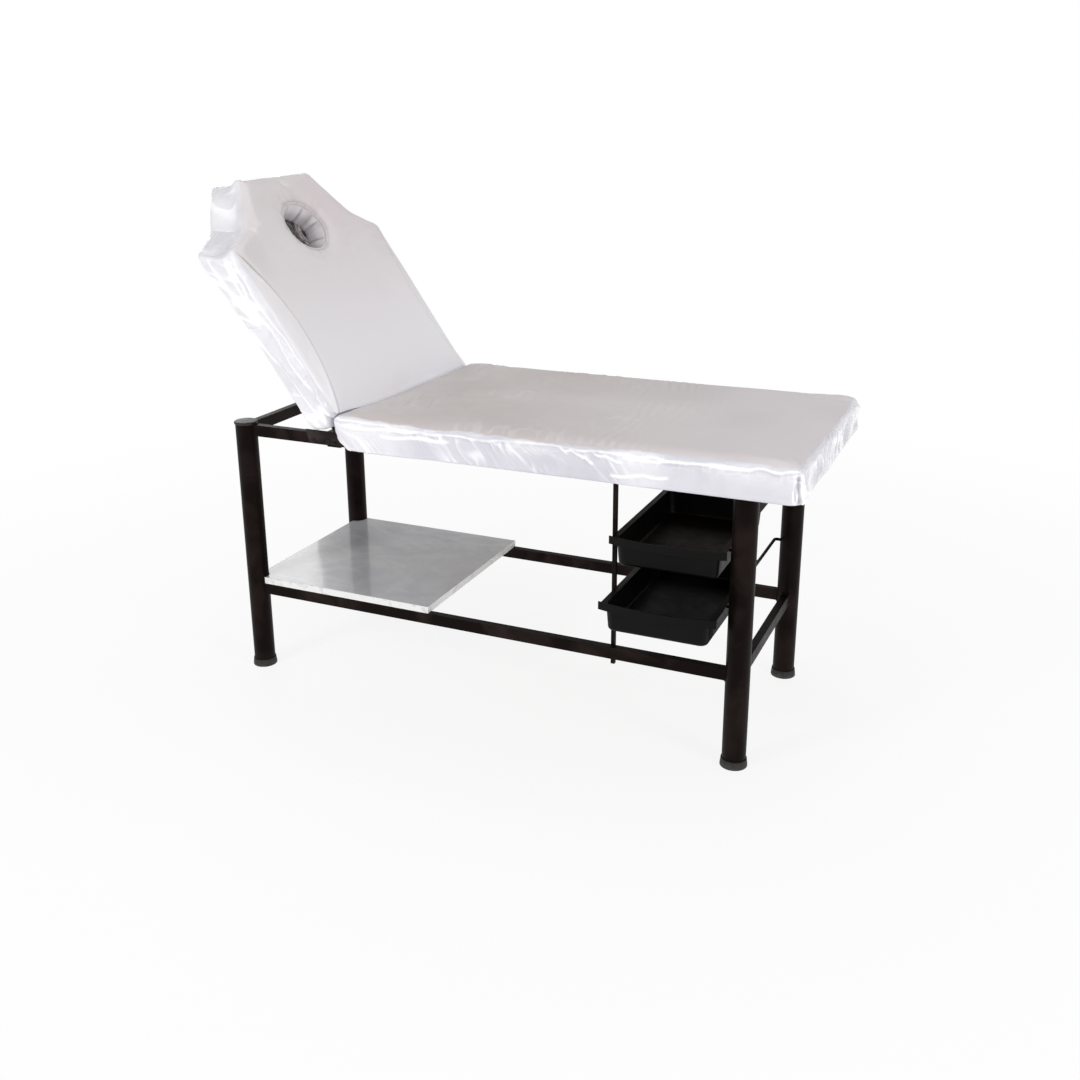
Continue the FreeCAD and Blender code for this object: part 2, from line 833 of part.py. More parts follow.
pivot_shaft, pivot_head = rivet("pivot_rivet", "hinge_x", "hinge_z", "pivot_pin", f"{plate_y} - 3")
pivot_tail = outward_cylinder("pivot_tail", "hinge_x", f"3 - ({plate_y})", "hinge_z", "pivot_pin + 2.5", 3)
pawl_shaft, pawl_head = rivet("pawl_rivet", "hinge_x + pawl_x", "hinge_z + pawl_z", "pawl_pin", plate_y)
pair(fuse("pivot_rivet_near", pivot_shaft, pivot_head, pivot_tail))
pair(fuse("pawl_rivet_near", pawl_shaft, pawl_head))

bolt_y = -size("post_y") - size("rail_width") / 2 - size("plate_thickness")
bolt_places = [Vector(x, bolt_y, 676) for x in (-452, -408)]
pair(screws("hinge_bolts_near", bolt_places, Vector(0, -1, 0)))

# ---- Tray rack: two uprights and four bent guide rods ----

for side, s in SIDES.items():
    low_y = f"{s} * (post_y - rail_width / 2 - upright_side / 2) - upright_side / 2"
    upright_size = ("upright_side", "upright_side", "upper_rail_z + rail_height - 2 - upright_foot")
    subpart(box(f"tray_upright_{side}", "upright_x", low_y, "upright_foot", *upright_size))


def guide_rod(name, rod_x, weld_x, turn, rod_z):
    """A rod along Y whose ends bend towards the upright (turn -1) or the post (turn 1)."""
    owner = body(name + "_bar")
    bend = size("rod_bend")
    end_y = size("rod_end_y")
    x = size(rod_x)
    weld = size(weld_x)
    knee = x + turn * bend
    path = owner.newObject("Sketcher::SketchObject", name + "_path")
    path.AttachmentSupport = [(origin_feature(owner, "XY_Plane"), "")]
    path.MapMode = "FlatFace"
    path.setExpression("AttachmentOffset.Base.z", formula(rod_z))
    corners = [Vector(knee, -end_y + bend, 0), Vector(knee, end_y - bend, 0)]
    quarter = math.pi / 2
    spans = [(math.pi, 1.5 * math.pi), (quarter, math.pi)] if turn > 0 else [(-quarter, 0), (0, quarter)]
    path.addGeometry(Part.LineSegment(Vector(weld, -end_y, 0), Vector(knee, -end_y, 0)))
    path.addGeometry(Part.ArcOfCircle(Part.Circle(corners[0], Vector(0, 0, 1), bend), *spans[0]))
    path.addGeometry(Part.LineSegment(Vector(x, -end_y + bend, 0), Vector(x, end_y - bend, 0)))
    path.addGeometry(Part.ArcOfCircle(Part.Circle(corners[1], Vector(0, 0, 1), bend), *spans[1]))
    path.addGeometry(Part.LineSegment(Vector(knee, end_y, 0), Vector(weld, end_y, 0)))
    section = circle(owner, "YZ_Plane", "-rod_end_y", rod_z, "rod_radius", weld_x)
    pipe = owner.newObject("PartDesign::AdditivePipe", name + "_pipe")
    pipe.Profile = section
    pipe.Spine = path
    return subpart(cut(name, owner, post_cores))


for level, rod_z in (("upper", "upper_rod_z"), ("lower", "upper_rod_z - tray_spacing")):
    guide_rod(f"{level}_guide_rod_left", "left_rod_x", "left_weld_x", -1, rod_z)
    guide_rod(f"{level}_guide_rod_right", "right_rod_x", "right_weld_x", 1, rod_z)

# ---- Trays: a tapered tub, a rim that rides on the rods, and a bowed front lip ----

rim_z = "upper_rod_z + rod_radius + rod_gap"


def tub(name, inset, low, high):
    """A tapered block with rounded corners and a rounded floor edge, from low to high."""
    owner = body(name)
    wedge = owner.newObject("PartDesign::AdditiveWedge", name + "_wedge")
    wedge.Placement.Rotation = Rotation(Vector(1, 0, 0), 90)
    bind(wedge, Ymin=low, Ymax=high)
    for prefix, z in (("", low), ("2", high)):
        shrink = f"(tray_taper * ({rim_z} - ({z})) / tray_depth + {inset})"
        bind(
            wedge,
            **{
                f"X{prefix}min": f"tray_x - tray_top_half + {shrink}",
                f"X{prefix}max": f"tray_x + tray_top_half - {shrink}",
                f"Z{prefix}min": f"-tray_back_y + {shrink}",
                f"Z{prefix}max": f"-tray_front_y - {shrink}",
            },
        )
    base = fillet(owner, wedge, f"20 - {inset}", rises)
    doc.recompute()
    floor_z = min(edge.BoundBox.ZMin for edge in base.Shape.Edges)
    fillet(owner, base, f"9 - {inset}", level_at(floor_z))
    return owner


tub_outer = tub("tub_outer", "0", f"{rim_z} - tray_depth", rim_z)
tub_inner = tub("tub_inner", "tray_wall", f"{rim_z} - tray_depth + tray_wall", f"{rim_z} + 12")
rim = box(
    "tray_rim",
    "tray_x - rim_half",
    "tray_front_y + 4",
    rim_z,
    "2 * rim_half",
    "rim_back_y - tray_front_y - 4",
    "rim_thickness",
)
lip_y = "tray_front_y - 4 - lip_bow + lip_radius"
lip_z = f"{rim_z} + rim_thickness - lip_drop"
lip_height = "lip_drop + lip_rise"
lip_disc = cylinder("lip_disc", "tray_x", lip_y, lip_z, "lip_radius", lip_height)
lip_inside = cylinder("lip_inside", "tray_x", lip_y, lip_z, "lip_radius - 3", lip_height)
lip_place = ("tray_x - lip_half", "tray_front_y - 30")
lip_zone = box("lip_zone", *lip_place, lip_z, "2 * lip_half", 40, lip_height)
lip = common("lip", cut("lip_ring", lip_disc, lip_inside), lip_zone)
web_disc = cylinder("web_disc", "tray_x", lip_y, rim_z, "lip_radius", "rim_thickness")
web_zone = box("web_zone", *lip_place, rim_z, "2 * lip_half", 40, "rim_thickness")
web = common("lip_web", web_disc, web_zone)
tray = cut("upper_tray", fuse("tray_blank", tub_outer, rim, lip, web), tub_inner)
subpart(tray)
lower_tray = group("lower_tray", tray)
subpart(bind(lower_tray, y="-lower_tray_pull", z="-tray_spacing"))

# ---- Checks and export ----

doc.recompute()
for item in doc.Objects:
    if "Invalid" in item.State or "Error" in item.State:
        raise RuntimeError(f"{item.Label} did not recompute: {item.State}")
os.makedirs("parts", exist_ok=True)
for piece in subparts:
    if piece.Shape.isNull() or not piece.Shape.isValid() or not piece.Shape.Solids:
        raise RuntimeError(f"{piece.Label} is not a valid solid")
    piece.Shape.exportStep(f"parts/{piece.Label}.step")
print(f"{len(subparts)} pieces")
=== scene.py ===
import itertools
import json
import math

import bmesh
import bpy
import numpy as np
from mathutils import Matrix, Vector
from mathutils.bvhtree import BVHTree


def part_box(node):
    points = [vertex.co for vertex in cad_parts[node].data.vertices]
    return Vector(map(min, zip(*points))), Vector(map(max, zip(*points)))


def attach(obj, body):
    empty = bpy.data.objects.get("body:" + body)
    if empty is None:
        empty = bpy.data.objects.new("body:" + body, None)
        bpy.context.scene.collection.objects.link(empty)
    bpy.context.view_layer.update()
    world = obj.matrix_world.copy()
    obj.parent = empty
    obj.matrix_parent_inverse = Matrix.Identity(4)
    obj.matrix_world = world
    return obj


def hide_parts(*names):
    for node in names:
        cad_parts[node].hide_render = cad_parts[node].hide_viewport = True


# The looks of a facial treatment bed round its CAD frame. Metres; +X to the foot end, -Y the near side.

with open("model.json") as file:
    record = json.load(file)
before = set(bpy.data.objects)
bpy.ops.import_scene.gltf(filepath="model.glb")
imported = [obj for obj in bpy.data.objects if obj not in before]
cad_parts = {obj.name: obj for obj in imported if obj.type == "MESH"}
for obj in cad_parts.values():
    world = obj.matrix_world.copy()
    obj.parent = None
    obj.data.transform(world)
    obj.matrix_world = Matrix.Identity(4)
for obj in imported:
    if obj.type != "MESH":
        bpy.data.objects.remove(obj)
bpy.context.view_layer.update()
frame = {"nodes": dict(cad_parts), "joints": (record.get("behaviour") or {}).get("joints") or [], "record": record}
NODES = frame["nodes"]
SCENE = bpy.context.scene

# Camera, aimed as a person standing near the foot end sees the bed
CAMERA_TARGET = Vector((-0.0038, 0.0155, 0.5295))
CAMERA_AZIMUTH = math.radians(24.98)
CAMERA_ELEVATION = math.radians(17.82)
CAMERA_ROLL = math.radians(-0.59)
CAMERA_DISTANCE = 3.170
CAMERA_LENS = 39.86
CAMERA_SHIFT = (0.0189, -0.0517)

SURROUND_LIGHT = 0.50
FLOOR_HALF = 60

# Padding
VOXEL = 0.006
PRESSURE = 4.0
CLOTH_FRAMES = 20
SWELL = 0.005
TOP_RADIUS = 0.020
HOLE_CENTRE = -0.540
HOLE_HALF = (0.065, 0.0725)
HOLE_SINK = 0.0045
HOLE_TOP = 0.0646
PLEATS = 11
PLEAT_DEPTH = 0.0075
# The film in the face hole: its height, its gap to the hole's edge and how far the painted shadow of the near rim
# is moved across the bed
FILM_LEVEL = 0.0075
FILM_MARGIN = 0.0085
FILM_SHADE = 0.095
# The lift at which a fold's painted highlight, or a dip's painted shade, is coloured in full
FOLD_HEIGHT = 0.004

# Frame
POST_RADIUS = 0.0285
RAIL_HALF = 0.010
RAIL_HEIGHT = 0.030
BEAD_RADIUS = 0.0022
BEAD_SIDES = 8
BEVEL = 0.0006
BEVELS = {
    "black_tray_plastic": 0.0009,
    "shelf_laminate": 0.0004,
    "white_edge_band": 0.0003,
    "staple_steel": 0.0002,
}


# ---- Numbers: smooth steps and repeatable noise ----


def rise(low, high, value):
    """Climbs smoothly from 0 at low to 1 at high."""
    share = np.clip((value - low) / (high - low), 0, 1)
    return share * share * (3 - 2 * share)


def hump(value, centre, width):
    """A soft ridge of height 1."""
    return np.exp(-(((value - centre) / width) ** 2))


def lattice(cells, seed):
    """A repeatable value between 0 and 1 for each whole-numbered cell, mixed with large primes."""
    x, y, z = cells.astype(np.int64).T
    mixed = (x * 73856093) ^ (y * 19349663) ^ (z * 83492791) ^ (seed * 2654435761)
    mixed = (mixed ^ (mixed >> 13)) * 1274126177
    return ((mixed ^ (mixed >> 16)) & 0xFFFF) / 0xFFFF


def noise(seed, *axes):
    """Smooth noise between -1 and 1; the axes are given in cells."""
    zero = np.zeros_like(axes[0])
    place = np.stack(list(axes) + [zero] * (3 - len(axes)), axis=1)
    base = np.floor(place)
    part = place - base
    part = part**3 * (part * (part * 6 - 15) + 10)
    total = 0
    for corner in itertools.product((0, 1), repeat=3):
        weight = np.prod(np.where(corner, part, 1 - part), axis=1)
        total = total + weight * lattice(base + corner, seed)
    return 2 * total - 1


def folds(seed, width, *axes):
    """Thin ridges that wander along the zero lines of a noise field."""
    return np.exp(-((noise(seed, *axes) / width) ** 2))


# ---- Meshes ----


def add_object(name, mesh):
    made = bpy.data.objects.new(name, mesh)
    SCENE.collection.objects.link(made)
    return made


def mesh_object(name, points, faces):
    """A smooth-shaded object from points and faces."""
    mesh = bpy.data.meshes.new(name)
    mesh.from_pydata([tuple(point) for point in points], [], faces)
    mesh.polygons.foreach_set("use_smooth", [True] * len(faces))
    return add_object(name, mesh)


def points_of(mesh):
    flat = np.empty(3 * len(mesh.vertices))
    mesh.vertices.foreach_get("co", flat)
    return flat.reshape(-1, 3)


def normals_of(mesh):
    flat = np.empty(3 * len(mesh.vertices), np.float32)
    mesh.vertices.foreach_get("normal", flat)
    return flat.reshape(-1, 3).astype(float)


def set_points(mesh, points):
    mesh.vertices.foreach_set("co", points.ravel())
    mesh.update()


def bake(target):
    """Applies an object's modifiers to its mesh."""
    graph = bpy.context.evaluated_depsgraph_get()
    mesh = bpy.data.meshes.new_from_object(target.evaluated_get(graph))
    target.modifiers.clear()
    target.data = mesh


def loft(name, rings):
    """A surface through rings of points; each ring closes on itself, and so does the run of rings."""
    count = len(rings)
    width = len(rings[0])
    points = [point for ring in rings for point in ring]
    faces = []
    for i in range(count):
        for j in range(width):
            a = i * width + j
            b = i * width + (j + 1) % width
            c = ((i + 1) % count) * width + (j + 1) % width
            d = ((i + 1) % count) * width + j
            faces.append((a, b, c, d))
    return mesh_object(name, points, faces)


# ---- Materials ----


class Look:
    """One procedural material: a principled shader and the texture nodes that drive it."""

    def __init__(self, name):
        self.material = bpy.data.materials.new(name)
        self.material.use_nodes = True
        self.nodes = self.material.node_tree.nodes
        self.links = self.material.node_tree.links
        self.shader = self.nodes["Principled BSDF"]
        self.place = self.nodes.new("ShaderNodeTexCoord").outputs["Object"]

    def put(self, socket, value):
        """Gives an input a number, a colour or another node's output."""
        if isinstance(value, bpy.types.NodeSocket):
            self.links.new(value, socket)
        elif isinstance(value, tuple) and len(value) == 3 and socket.type == "RGBA":
            socket.default_value = (*value, 1)
        else:
            socket.default_value = value

    def set(self, **values):
        for name, value in values.items():
            self.put(self.shader.inputs[name.replace("_", " ")], value)
        return self

    def stretched(self, stretch, turn=(0, 0, 0)):
        """The object's coordinates, scaled and turned, so that a texture runs in a direction."""
        node = self.nodes.new("ShaderNodeMapping")
        node.inputs["Scale"].default_value = stretch
        node.inputs["Rotation"].default_value = turn
        self.links.new(self.place, node.inputs["Vector"])
        return node.outputs["Vector"]

    def noise(self, scale, detail=3.0, distortion=0.0, place=None, rough=0.5):
        node = self.nodes.new("ShaderNodeTexNoise")
        self.links.new(place or self.place, node.inputs["Vector"])
        node.inputs["Scale"].default_value = scale
        node.inputs["Detail"].default_value = detail
        node.inputs["Roughness"].default_value = rough
        node.inputs["Distortion"].default_value = distortion
        return node.outputs["Fac"]

    def cells(self, scale, place=None):
        node = self.nodes.new("ShaderNodeTexVoronoi")
        self.links.new(place or self.place, node.inputs["Vector"])
        node.inputs["Scale"].default_value = scale
        return node.outputs["Distance"]

    def wave(self, scale, distortion, place=None, direction="X"):
        node = self.nodes.new("ShaderNodeTexWave")
        node.bands_direction = direction
        self.links.new(place or self.place, node.inputs["Vector"])
        node.inputs["Scale"].default_value = scale
        node.inputs["Distortion"].default_value = distortion
        node.inputs["Detail"].default_value = 3
        return node.outputs["Fac"]

    def attribute(self, name):
        node = self.nodes.new("ShaderNodeAttribute")
        node.attribute_name = name
        return node.outputs["Fac"]

    def span(self, source, low, high, start, end):
        """Maps low..high of a source onto start..end, held at both ends."""
        node = self.nodes.new("ShaderNodeMapRange")
        self.links.new(source, node.inputs["Value"])
        for key, value in (("From Min", low), ("From Max", high), ("To Min", start), ("To Max", end)):
            self.put(node.inputs[key], value)
        return node.outputs["Result"]

    def times(self, a, b):
        node = self.nodes.new("ShaderNodeMath")
        node.operation = "MULTIPLY"
        self.put(node.inputs[0], a)
        self.put(node.inputs[1], b)
        return node.outputs[0]

    def plus(self, a, b):
        node = self.nodes.new("ShaderNodeMath")
        node.operation = "ADD"
        self.put(node.inputs[0], a)
        self.put(node.inputs[1], b)
        return node.outputs[0]

    def mix(self, share, a, b):
        node = self.nodes.new("ShaderNodeMix")
        node.data_type = "RGBA"
        self.put(node.inputs[0], share)
        self.put(node.inputs[6], a)
        self.put(node.inputs[7], b)
        return node.outputs[2]

    def bump(self, height, strength, distance=0.001, under=None):
        node = self.nodes.new("ShaderNodeBump")
        self.put(node.inputs["Height"], height)
        self.put(node.inputs["Strength"], strength)
        node.inputs["Distance"].default_value = distance
        if under is not None:
            self.links.new(under, node.inputs["Normal"])
        return node.outputs["Normal"]

    def edges(self, low, high):
        """Rises on convex edges, where paint wears and light catches."""
        node = self.nodes.new("ShaderNodeNewGeometry")
        return self.span(node.outputs["Pointiness"], low, high, 0, 1)

    def height(self):
        node = self.nodes.new("ShaderNodeSeparateXYZ")
        self.links.new(self.place, node.inputs[0])
        return node.outputs[2]


def vinyl_look(name, top, side):
    """Matt vinyl under a clear wrinkled film; the film's share comes from the mesh, and so does each fold's lift,
    from which the colour takes painted shade in the dips and a painted highlight on the ridges.
    """
    look = Look(name)
    film = look.attribute("film")
    patches = look.noise(2.6, 2)
    mottle = look.noise(17, 3, 0.5)
    warm = look.mix(look.span(patches, 0.38, 0.62, 0, 1), top[0], top[1])
    warm = look.mix(look.span(mottle, 0.45, 0.75, 0, 0.35), warm, top[2])
    warm = look.mix(look.attribute("tone"), warm, top[3])
    # Painted light on the top: dips in the folds darkened as painted shade, ridges whitened as painted highlight
    fold = look.attribute("fold")
    warm = look.mix(look.span(fold, -0.05, -1.0, 0, 0.55), warm, tuple(0.55 * c for c in top[0]))
    warm = look.mix(look.span(fold, 0.08, 1.0, 0, 0.35), warm, (0.92, 0.90, 0.91))
    pale = look.mix(look.span(mottle, 0.4, 0.7, 0, 1), side[0], side[1])
    # Painted light on the film at the sides: dips darkened as painted shade, ridges whitened as painted highlight
    pale = look.mix(look.span(fold, -0.05, -0.8, 0, 0.75), pale, tuple(0.62 * c for c in side[0]))
    pale = look.mix(look.span(fold, 0.10, 0.8, 0, 1), pale, (0.96, 0.96, 0.98))
    grain = look.cells(900)
    weave = look.noise(420, 2)
    skin = look.bump(grain, 0.06, 0.0006)
    skin = look.bump(weave, 0.05, 0.0006, skin)
    crinkle = look.noise(38, 4, 1.4, look.stretched((1, 0.35, 1)), 0.62)
    fine = look.noise(110, 3, 1.0)
    gloss = look.bump(crinkle, look.span(film, 0, 1, 0.10, 0.55), 0.012)
    gloss = look.bump(fine, look.span(film, 0, 1, 0.05, 0.16), 0.003, gloss)
    look.set(
        Base_Color=look.mix(film, warm, pale),
        Roughness=look.span(mottle, 0.3, 0.7, 0.46, 0.58),
        Normal=skin,
        Coat_Weight=look.span(film, 0, 1, 0.35, 1.0),
        Coat_Roughness=look.span(film, 0, 1, 0.24, 0.045),
        Coat_IOR=1.6,
        Coat_Normal=gloss,
        Sheen_Weight=0.08,
        Subsurface_Weight=0.04,
        Subsurface_Radius=(0.02, 0.015, 0.012),
        Subsurface_Scale=0.2,
    )
    return look.material


def paint_look(name, base, worn_and_lit_edge, rough=(0.36, 0.50)):
    """Satin black paint: orange peel, faint smudges, and edges made lighter for paint rubbed off there and for a
    painted highlight.
    """
    look = Look(name)
    smudge = look.noise(9, 4, 0.6)
    peel = look.noise(420, 2)
    scratch = look.noise(60, 3, 0, look.stretched((1, 1, 0.08)))
    # Lighter convex edges: paint rubbed off there, and a painted highlight where light catches them
    wear_and_edge_highlight = look.times(look.edges(0.51, 0.60), look.span(smudge, 0.45, 0.65, 0, 0.8))
    tone = look.mix(look.span(smudge, 0.35, 0.7, 0, 1), base, tuple(1.6 * c for c in base))
    look.set(
        Base_Color=look.mix(wear_and_edge_highlight, tone, worn_and_lit_edge),
        Roughness=look.plus(look.span(smudge, 0.3, 0.7, *rough), look.span(scratch, 0.55, 0.75, 0, 0.12)),
        Normal=look.bump(peel, 0.10, 0.0008),
        Specular_Tint=(1.0, 0.72, 0.66),
        Specular_IOR_Level=0.07,
        Coat_Weight=0.02,
        Coat_Roughness=0.16,
    )
    return look.material


def plastic_look(name, base, rough, texture=700, specular=0.4):
    """Moulded plastic: a fine spark-eroded texture, scuffs, and edges made lighter for a little dust and for a
    painted highlight.
    """
    look = Look(name)
    scuff = look.noise(24, 4, 1.2)
    drag = look.noise(90, 3, 0.4, look.stretched((0.12, 1, 1)))
    grain = look.noise(texture, 2)
    # Lighter convex edges: a little dust, and a painted highlight where light catches them
    edge = look.times(look.edges(0.52, 0.62), 0.5)
    polish = look.span(scuff, 0.3, 0.7, rough - 0.06, rough + 0.07)
    tone = look.mix(look.span(scuff, 0.4, 0.7, 0, 1), base, tuple(1.5 * c for c in base))
    look.set(
        Base_Color=look.mix(edge, tone, tuple(2.6 * c + 0.004 for c in base)),
        Roughness=look.plus(polish, look.span(drag, 0.55, 0.7, 0, 0.08)),
        Normal=look.bump(grain, 0.16, 0.0006, look.bump(scuff, 0.05, 0.003)),
        Specular_IOR_Level=specular,
    )
    return look.material


def rubber_look(name):
    """Dull black rubber, dusty towards the floor."""
    look = Look(name)
    grain = look.noise(500, 3)
    low_down = look.span(look.height(), 0.0, 0.022, 1, 0)
    dust = look.times(low_down, look.span(look.noise(80, 4), 0.35, 0.7, 0.2, 0.9))
    look.set(
        Base_Color=look.mix(dust, (0.012, 0.011, 0.011), (0.085, 0.078, 0.070)),
        Roughness=look.span(grain, 0.3, 0.7, 0.58, 0.78),
        Normal=look.bump(grain, 0.22, 0.001),
        Specular_IOR_Level=0.3,
    )
    return look.material


def laminate_look(name):
    """Pale glossy laminate: soft lighter clouds painted as reflection, thin lighter streaks and fine wiping marks.
    """
    look = Look(name)
    cloud = look.noise(5.5, 5, 1.2, None, 0.6)
    vein = look.noise(13, 4, 2.2, look.stretched((0.45, 1, 1), (0, 0, 0.6)))
    wipe = look.noise(160, 2, 0.3, look.stretched((0.05, 1, 1), (0, 0, 0.3)))
    # Painted reflection: soft clouds lighten the laminate's colour
    tone = look.mix(look.span(cloud, 0.35, 0.68, 0, 1), (0.40, 0.41, 0.445), (0.50, 0.505, 0.53))
    tone = look.mix(look.span(vein, 0.52, 0.60, 0, 0.35), tone, (0.56, 0.57, 0.60))
    look.set(
        Base_Color=tone,
        Roughness=look.span(wipe, 0.3, 0.8, 0.20, 0.25),
        Normal=look.bump(look.noise(600, 2), 0.03, 0.0005),
        Coat_Weight=0.7,
        Coat_Roughness=0.06,
        Coat_Normal=look.bump(cloud, 0.04, 0.01),
    )
    return look.material


def band_look(name):
    """White edge banding with a faint glue line and rubbed marks."""
    look = Look(name)
    rub = look.noise(45, 4, 0.8)
    look.set(
        Base_Color=look.mix(look.span(rub, 0.5, 0.72, 0, 1), (0.80, 0.80, 0.80), (0.62, 0.61, 0.60)),
        Roughness=look.span(rub, 0.3, 0.7, 0.25, 0.4),
        Normal=look.bump(look.noise(300, 2), 0.06, 0.0005),
    )
    return look.material


def plywood_look(name):
    """Birch plywood: long grain on the faces and thin plies on the edges."""
    look = Look(name)
    grain = look.noise(26, 5, 1.6, look.stretched((0.10, 1, 1)))
    pore = look.noise(240, 2, 0, look.stretched((0.06, 1, 1)))
    plies = look.wave(190, 0.6, None, "Z")
    tone = look.mix(look.span(grain, 0.35, 0.65, 0, 1), (0.52, 0.36, 0.21), (0.36, 0.22, 0.11))
    tone = look.mix(look.span(pore, 0.58, 0.72, 0, 0.45), tone, (0.20, 0.12, 0.06))
    tone = look.mix(look.span(plies, 0.35, 0.65, 0, 0.22), tone, (0.22, 0.13, 0.07))
    look.set(
        Base_Color=tone,
        Roughness=look.span(grain, 0.3, 0.7, 0.62, 0.78),
        Normal=look.bump(pore, 0.25, 0.0008),
    )
    return look.material


def steel_look(name, base, rough, rust=0.0):
    """Plated steel: brushed roughness, small stains, and edges made brighter as rubbed metal and as a painted
    highlight.
    """
    look = Look(name)
    stain = look.noise(70, 4, 0.8)
    brushed = look.noise(420, 2, 0, look.stretched((1, 1, 0.1)))
    polish = look.span(brushed, 0.3, 0.7, rough - 0.06, rough + 0.06)
    # Brighter convex edges: rubbed metal, and a painted highlight where light catches them
    tone = look.mix(look.edges(0.50, 0.60), base, tuple(min(1, 1.4 * c) for c in base))
    tone = look.mix(look.span(stain, 0.55, 0.75, 0, rust), tone, (0.16, 0.08, 0.04))
    look.set(
        Base_Color=tone,
        Metallic=1.0,
        Roughness=look.plus(polish, look.span(stain, 0.5, 0.7, 0, 0.15)),
        Normal=look.bump(brushed, 0.08, 0.0004),
    )
    return look.material


def foam_look(name):
    """Open-cell foam, seen only where the covers stop."""
    look = Look(name)
    pores = look.cells(700)
    look.set(
        Base_Color=look.mix(look.noise(12, 3), (0.62, 0.56, 0.36), (0.72, 0.66, 0.46)),
        Roughness=0.9,
        Normal=look.bump(pores, 0.5, 0.001),
    )
    return look.material


PAINT = paint_look("satin_black_paint", (0.0030, 0.0019, 0.0017), (0.030, 0.020, 0.018))
SLOT_LOOKS = {
    "black_frame_paint": PAINT,
    "black_rubber": rubber_look("black_rubber"),
    "cap_plastic": plastic_look("cap_plastic", (0.010, 0.009, 0.009), 0.42),
    "shelf_laminate": laminate_look("shelf_laminate"),
    "white_edge_band": band_look("white_edge_band"),
    "plywood": plywood_look("plywood"),
    "upholstery_foam": foam_look("upholstery_foam"),
    "black_tray_plastic": plastic_look("black_tray_plastic", (0.0013, 0.0010, 0.0010), 0.40, 900, 0.12),
    "staple_steel": steel_look("staple_steel", (0.62, 0.61, 0.60), 0.30),
    "screw_steel": steel_look("screw_steel", (0.50, 0.49, 0.48), 0.28, 0.25),
    "rivet_steel": steel_look("rivet_steel", (0.42, 0.41, 0.40), 0.32, 0.2),
    "hinge_steel": paint_look("hinge_black", (0.014, 0.011, 0.011), (0.11, 0.10, 0.095), (0.34, 0.46)),
}
# The colours of the vinyl on the seat and on the backrest: two that vary in patches, the mottling, and the one
# towards the foot or hinge. It is one vinyl; the backrest's colours are set lighter as painted light
SEAT_TOP = ((0.51, 0.460, 0.445), (0.555, 0.505, 0.495), (0.485, 0.445, 0.440), (0.66, 0.610, 0.625))
BACK_TOP = ((0.690, 0.625, 0.640), (0.700, 0.655, 0.665), (0.650, 0.595, 0.610), (0.86, 0.845, 0.875))
# The two colours of each side under its film; the backrest's are set lighter than the seat's as painted light
SEAT_SIDE = ((0.640, 0.630, 0.690), (0.590, 0.580, 0.645))
BACK_SIDE = ((0.720, 0.710, 0.745), (0.660, 0.650, 0.690))
SEAT_VINYL = vinyl_look("seat_vinyl_under_film", SEAT_TOP, SEAT_SIDE)
BACK_VINYL = vinyl_look("backrest_vinyl_under_film", BACK_TOP, BACK_SIDE)

NODE_SLOTS = {part["node"]: part["material_slot"] for part in frame["record"]["subparts"]}
# Fasteners of the ratchet hinge, which are blackened like its plates
BLACKENED = ("pivot_rivet", "pawl_rivet", "hinge_bolts")
BLACK_FASTENER = steel_look("blackened_steel", (0.030, 0.027, 0.026), 0.38, 0.1)


def dress_cad_nodes():
    """Gives every CAD node its material, and soft edges that catch the light."""
    for name, node in NODES.items():
        slot = NODE_SLOTS[name]
        node.data.materials.clear()
        look = BLACK_FASTENER if name.startswith(BLACKENED) else SLOT_LOOKS.get(slot, SEAT_VINYL)
        node.data.materials.append(look)
        custom = node.data.attributes.get("custom_normal")
        if custom:
            node.data.attributes.remove(custom)
        node.data.polygons.foreach_set("use_smooth", [True] * len(node.data.polygons))
        weld = node.modifiers.new("weld", "WELD")
        weld.merge_threshold = 0.00001
        bevel = node.modifiers.new("soft_edges", "BEVEL")
        bevel.width = BEVELS.get(slot, BEVEL)
        bevel.segments = 2
        bevel.limit_method = "ANGLE"
        bevel.angle_limit = math.radians(32)
        bevel.harden_normals = True


# ---- Padding: an inflated pad, then folds and wrinkles ----


def copy_of(node, name, to_flat):
    """A copy of a CAD node's mesh, laid flat."""
    mesh = NODES[node].data.copy()
    mesh.materials.clear()
    mesh.transform(to_flat)
    return add_object(name, mesh)


def outline_of(mesh, level):
    """The pad's plan outline at a height, in order round its centre."""
    points = points_of(mesh)
    ring = points[np.abs(points[:, 2] - level) < 0.0002][:, :2]
    ring = np.unique(np.round(ring, 5), axis=0)
    centre = (ring.min(axis=0) + ring.max(axis=0)) / 2
    return ring[np.argsort(np.arctan2(*(ring - centre).T[::-1]))]


def along_outline(points, ring):
    """Each point's distance along the outline, and how far outside it lies."""
    spans = np.roll(ring, -1, axis=0) - ring
    lengths = np.linalg.norm(spans, axis=1)
    run = np.concatenate([[0], np.cumsum(lengths)[:-1]])
    best = np.full(len(points), np.inf)
    along = np.zeros(len(points))
    outside = np.zeros(len(points))
    for start, span, length, offset in zip(ring, spans, lengths, run):
        if length < 1e-6:
            continue
        away = points - start
        share = np.clip(away @ span / length**2, 0, 1)
        gap = away - share[:, None] * span
        distance = np.linalg.norm(gap, axis=1)
        closer = distance < best
        side = np.sign(away[:, 0] * span[1] - away[:, 1] * span[0])
        best = np.where(closer, distance, best)
        along = np.where(closer, offset + share * length, along)
        outside = np.where(closer, side * distance, outside)
    return along, outside


def hidden(pad):
    """True for the points that the pressure leaves alone: the recess, the hole's wall and the underside."""
    points = points_of(pad.data)
    normals = normals_of(pad.data)
    tree = BVHTree.FromPolygons(points.tolist(), [tuple(face.vertices) for face in pad.data.polygons])
    held = normals[:, 2] < -0.35
    for i in np.flatnonzero(~held & (np.abs(normals[:, 2]) < 0.8)):
        start = Vector(points[i]) + 0.002 * Vector(normals[i])
        held[i] = tree.ray_cast(start, Vector(normals[i]))[0] is not None
    return held


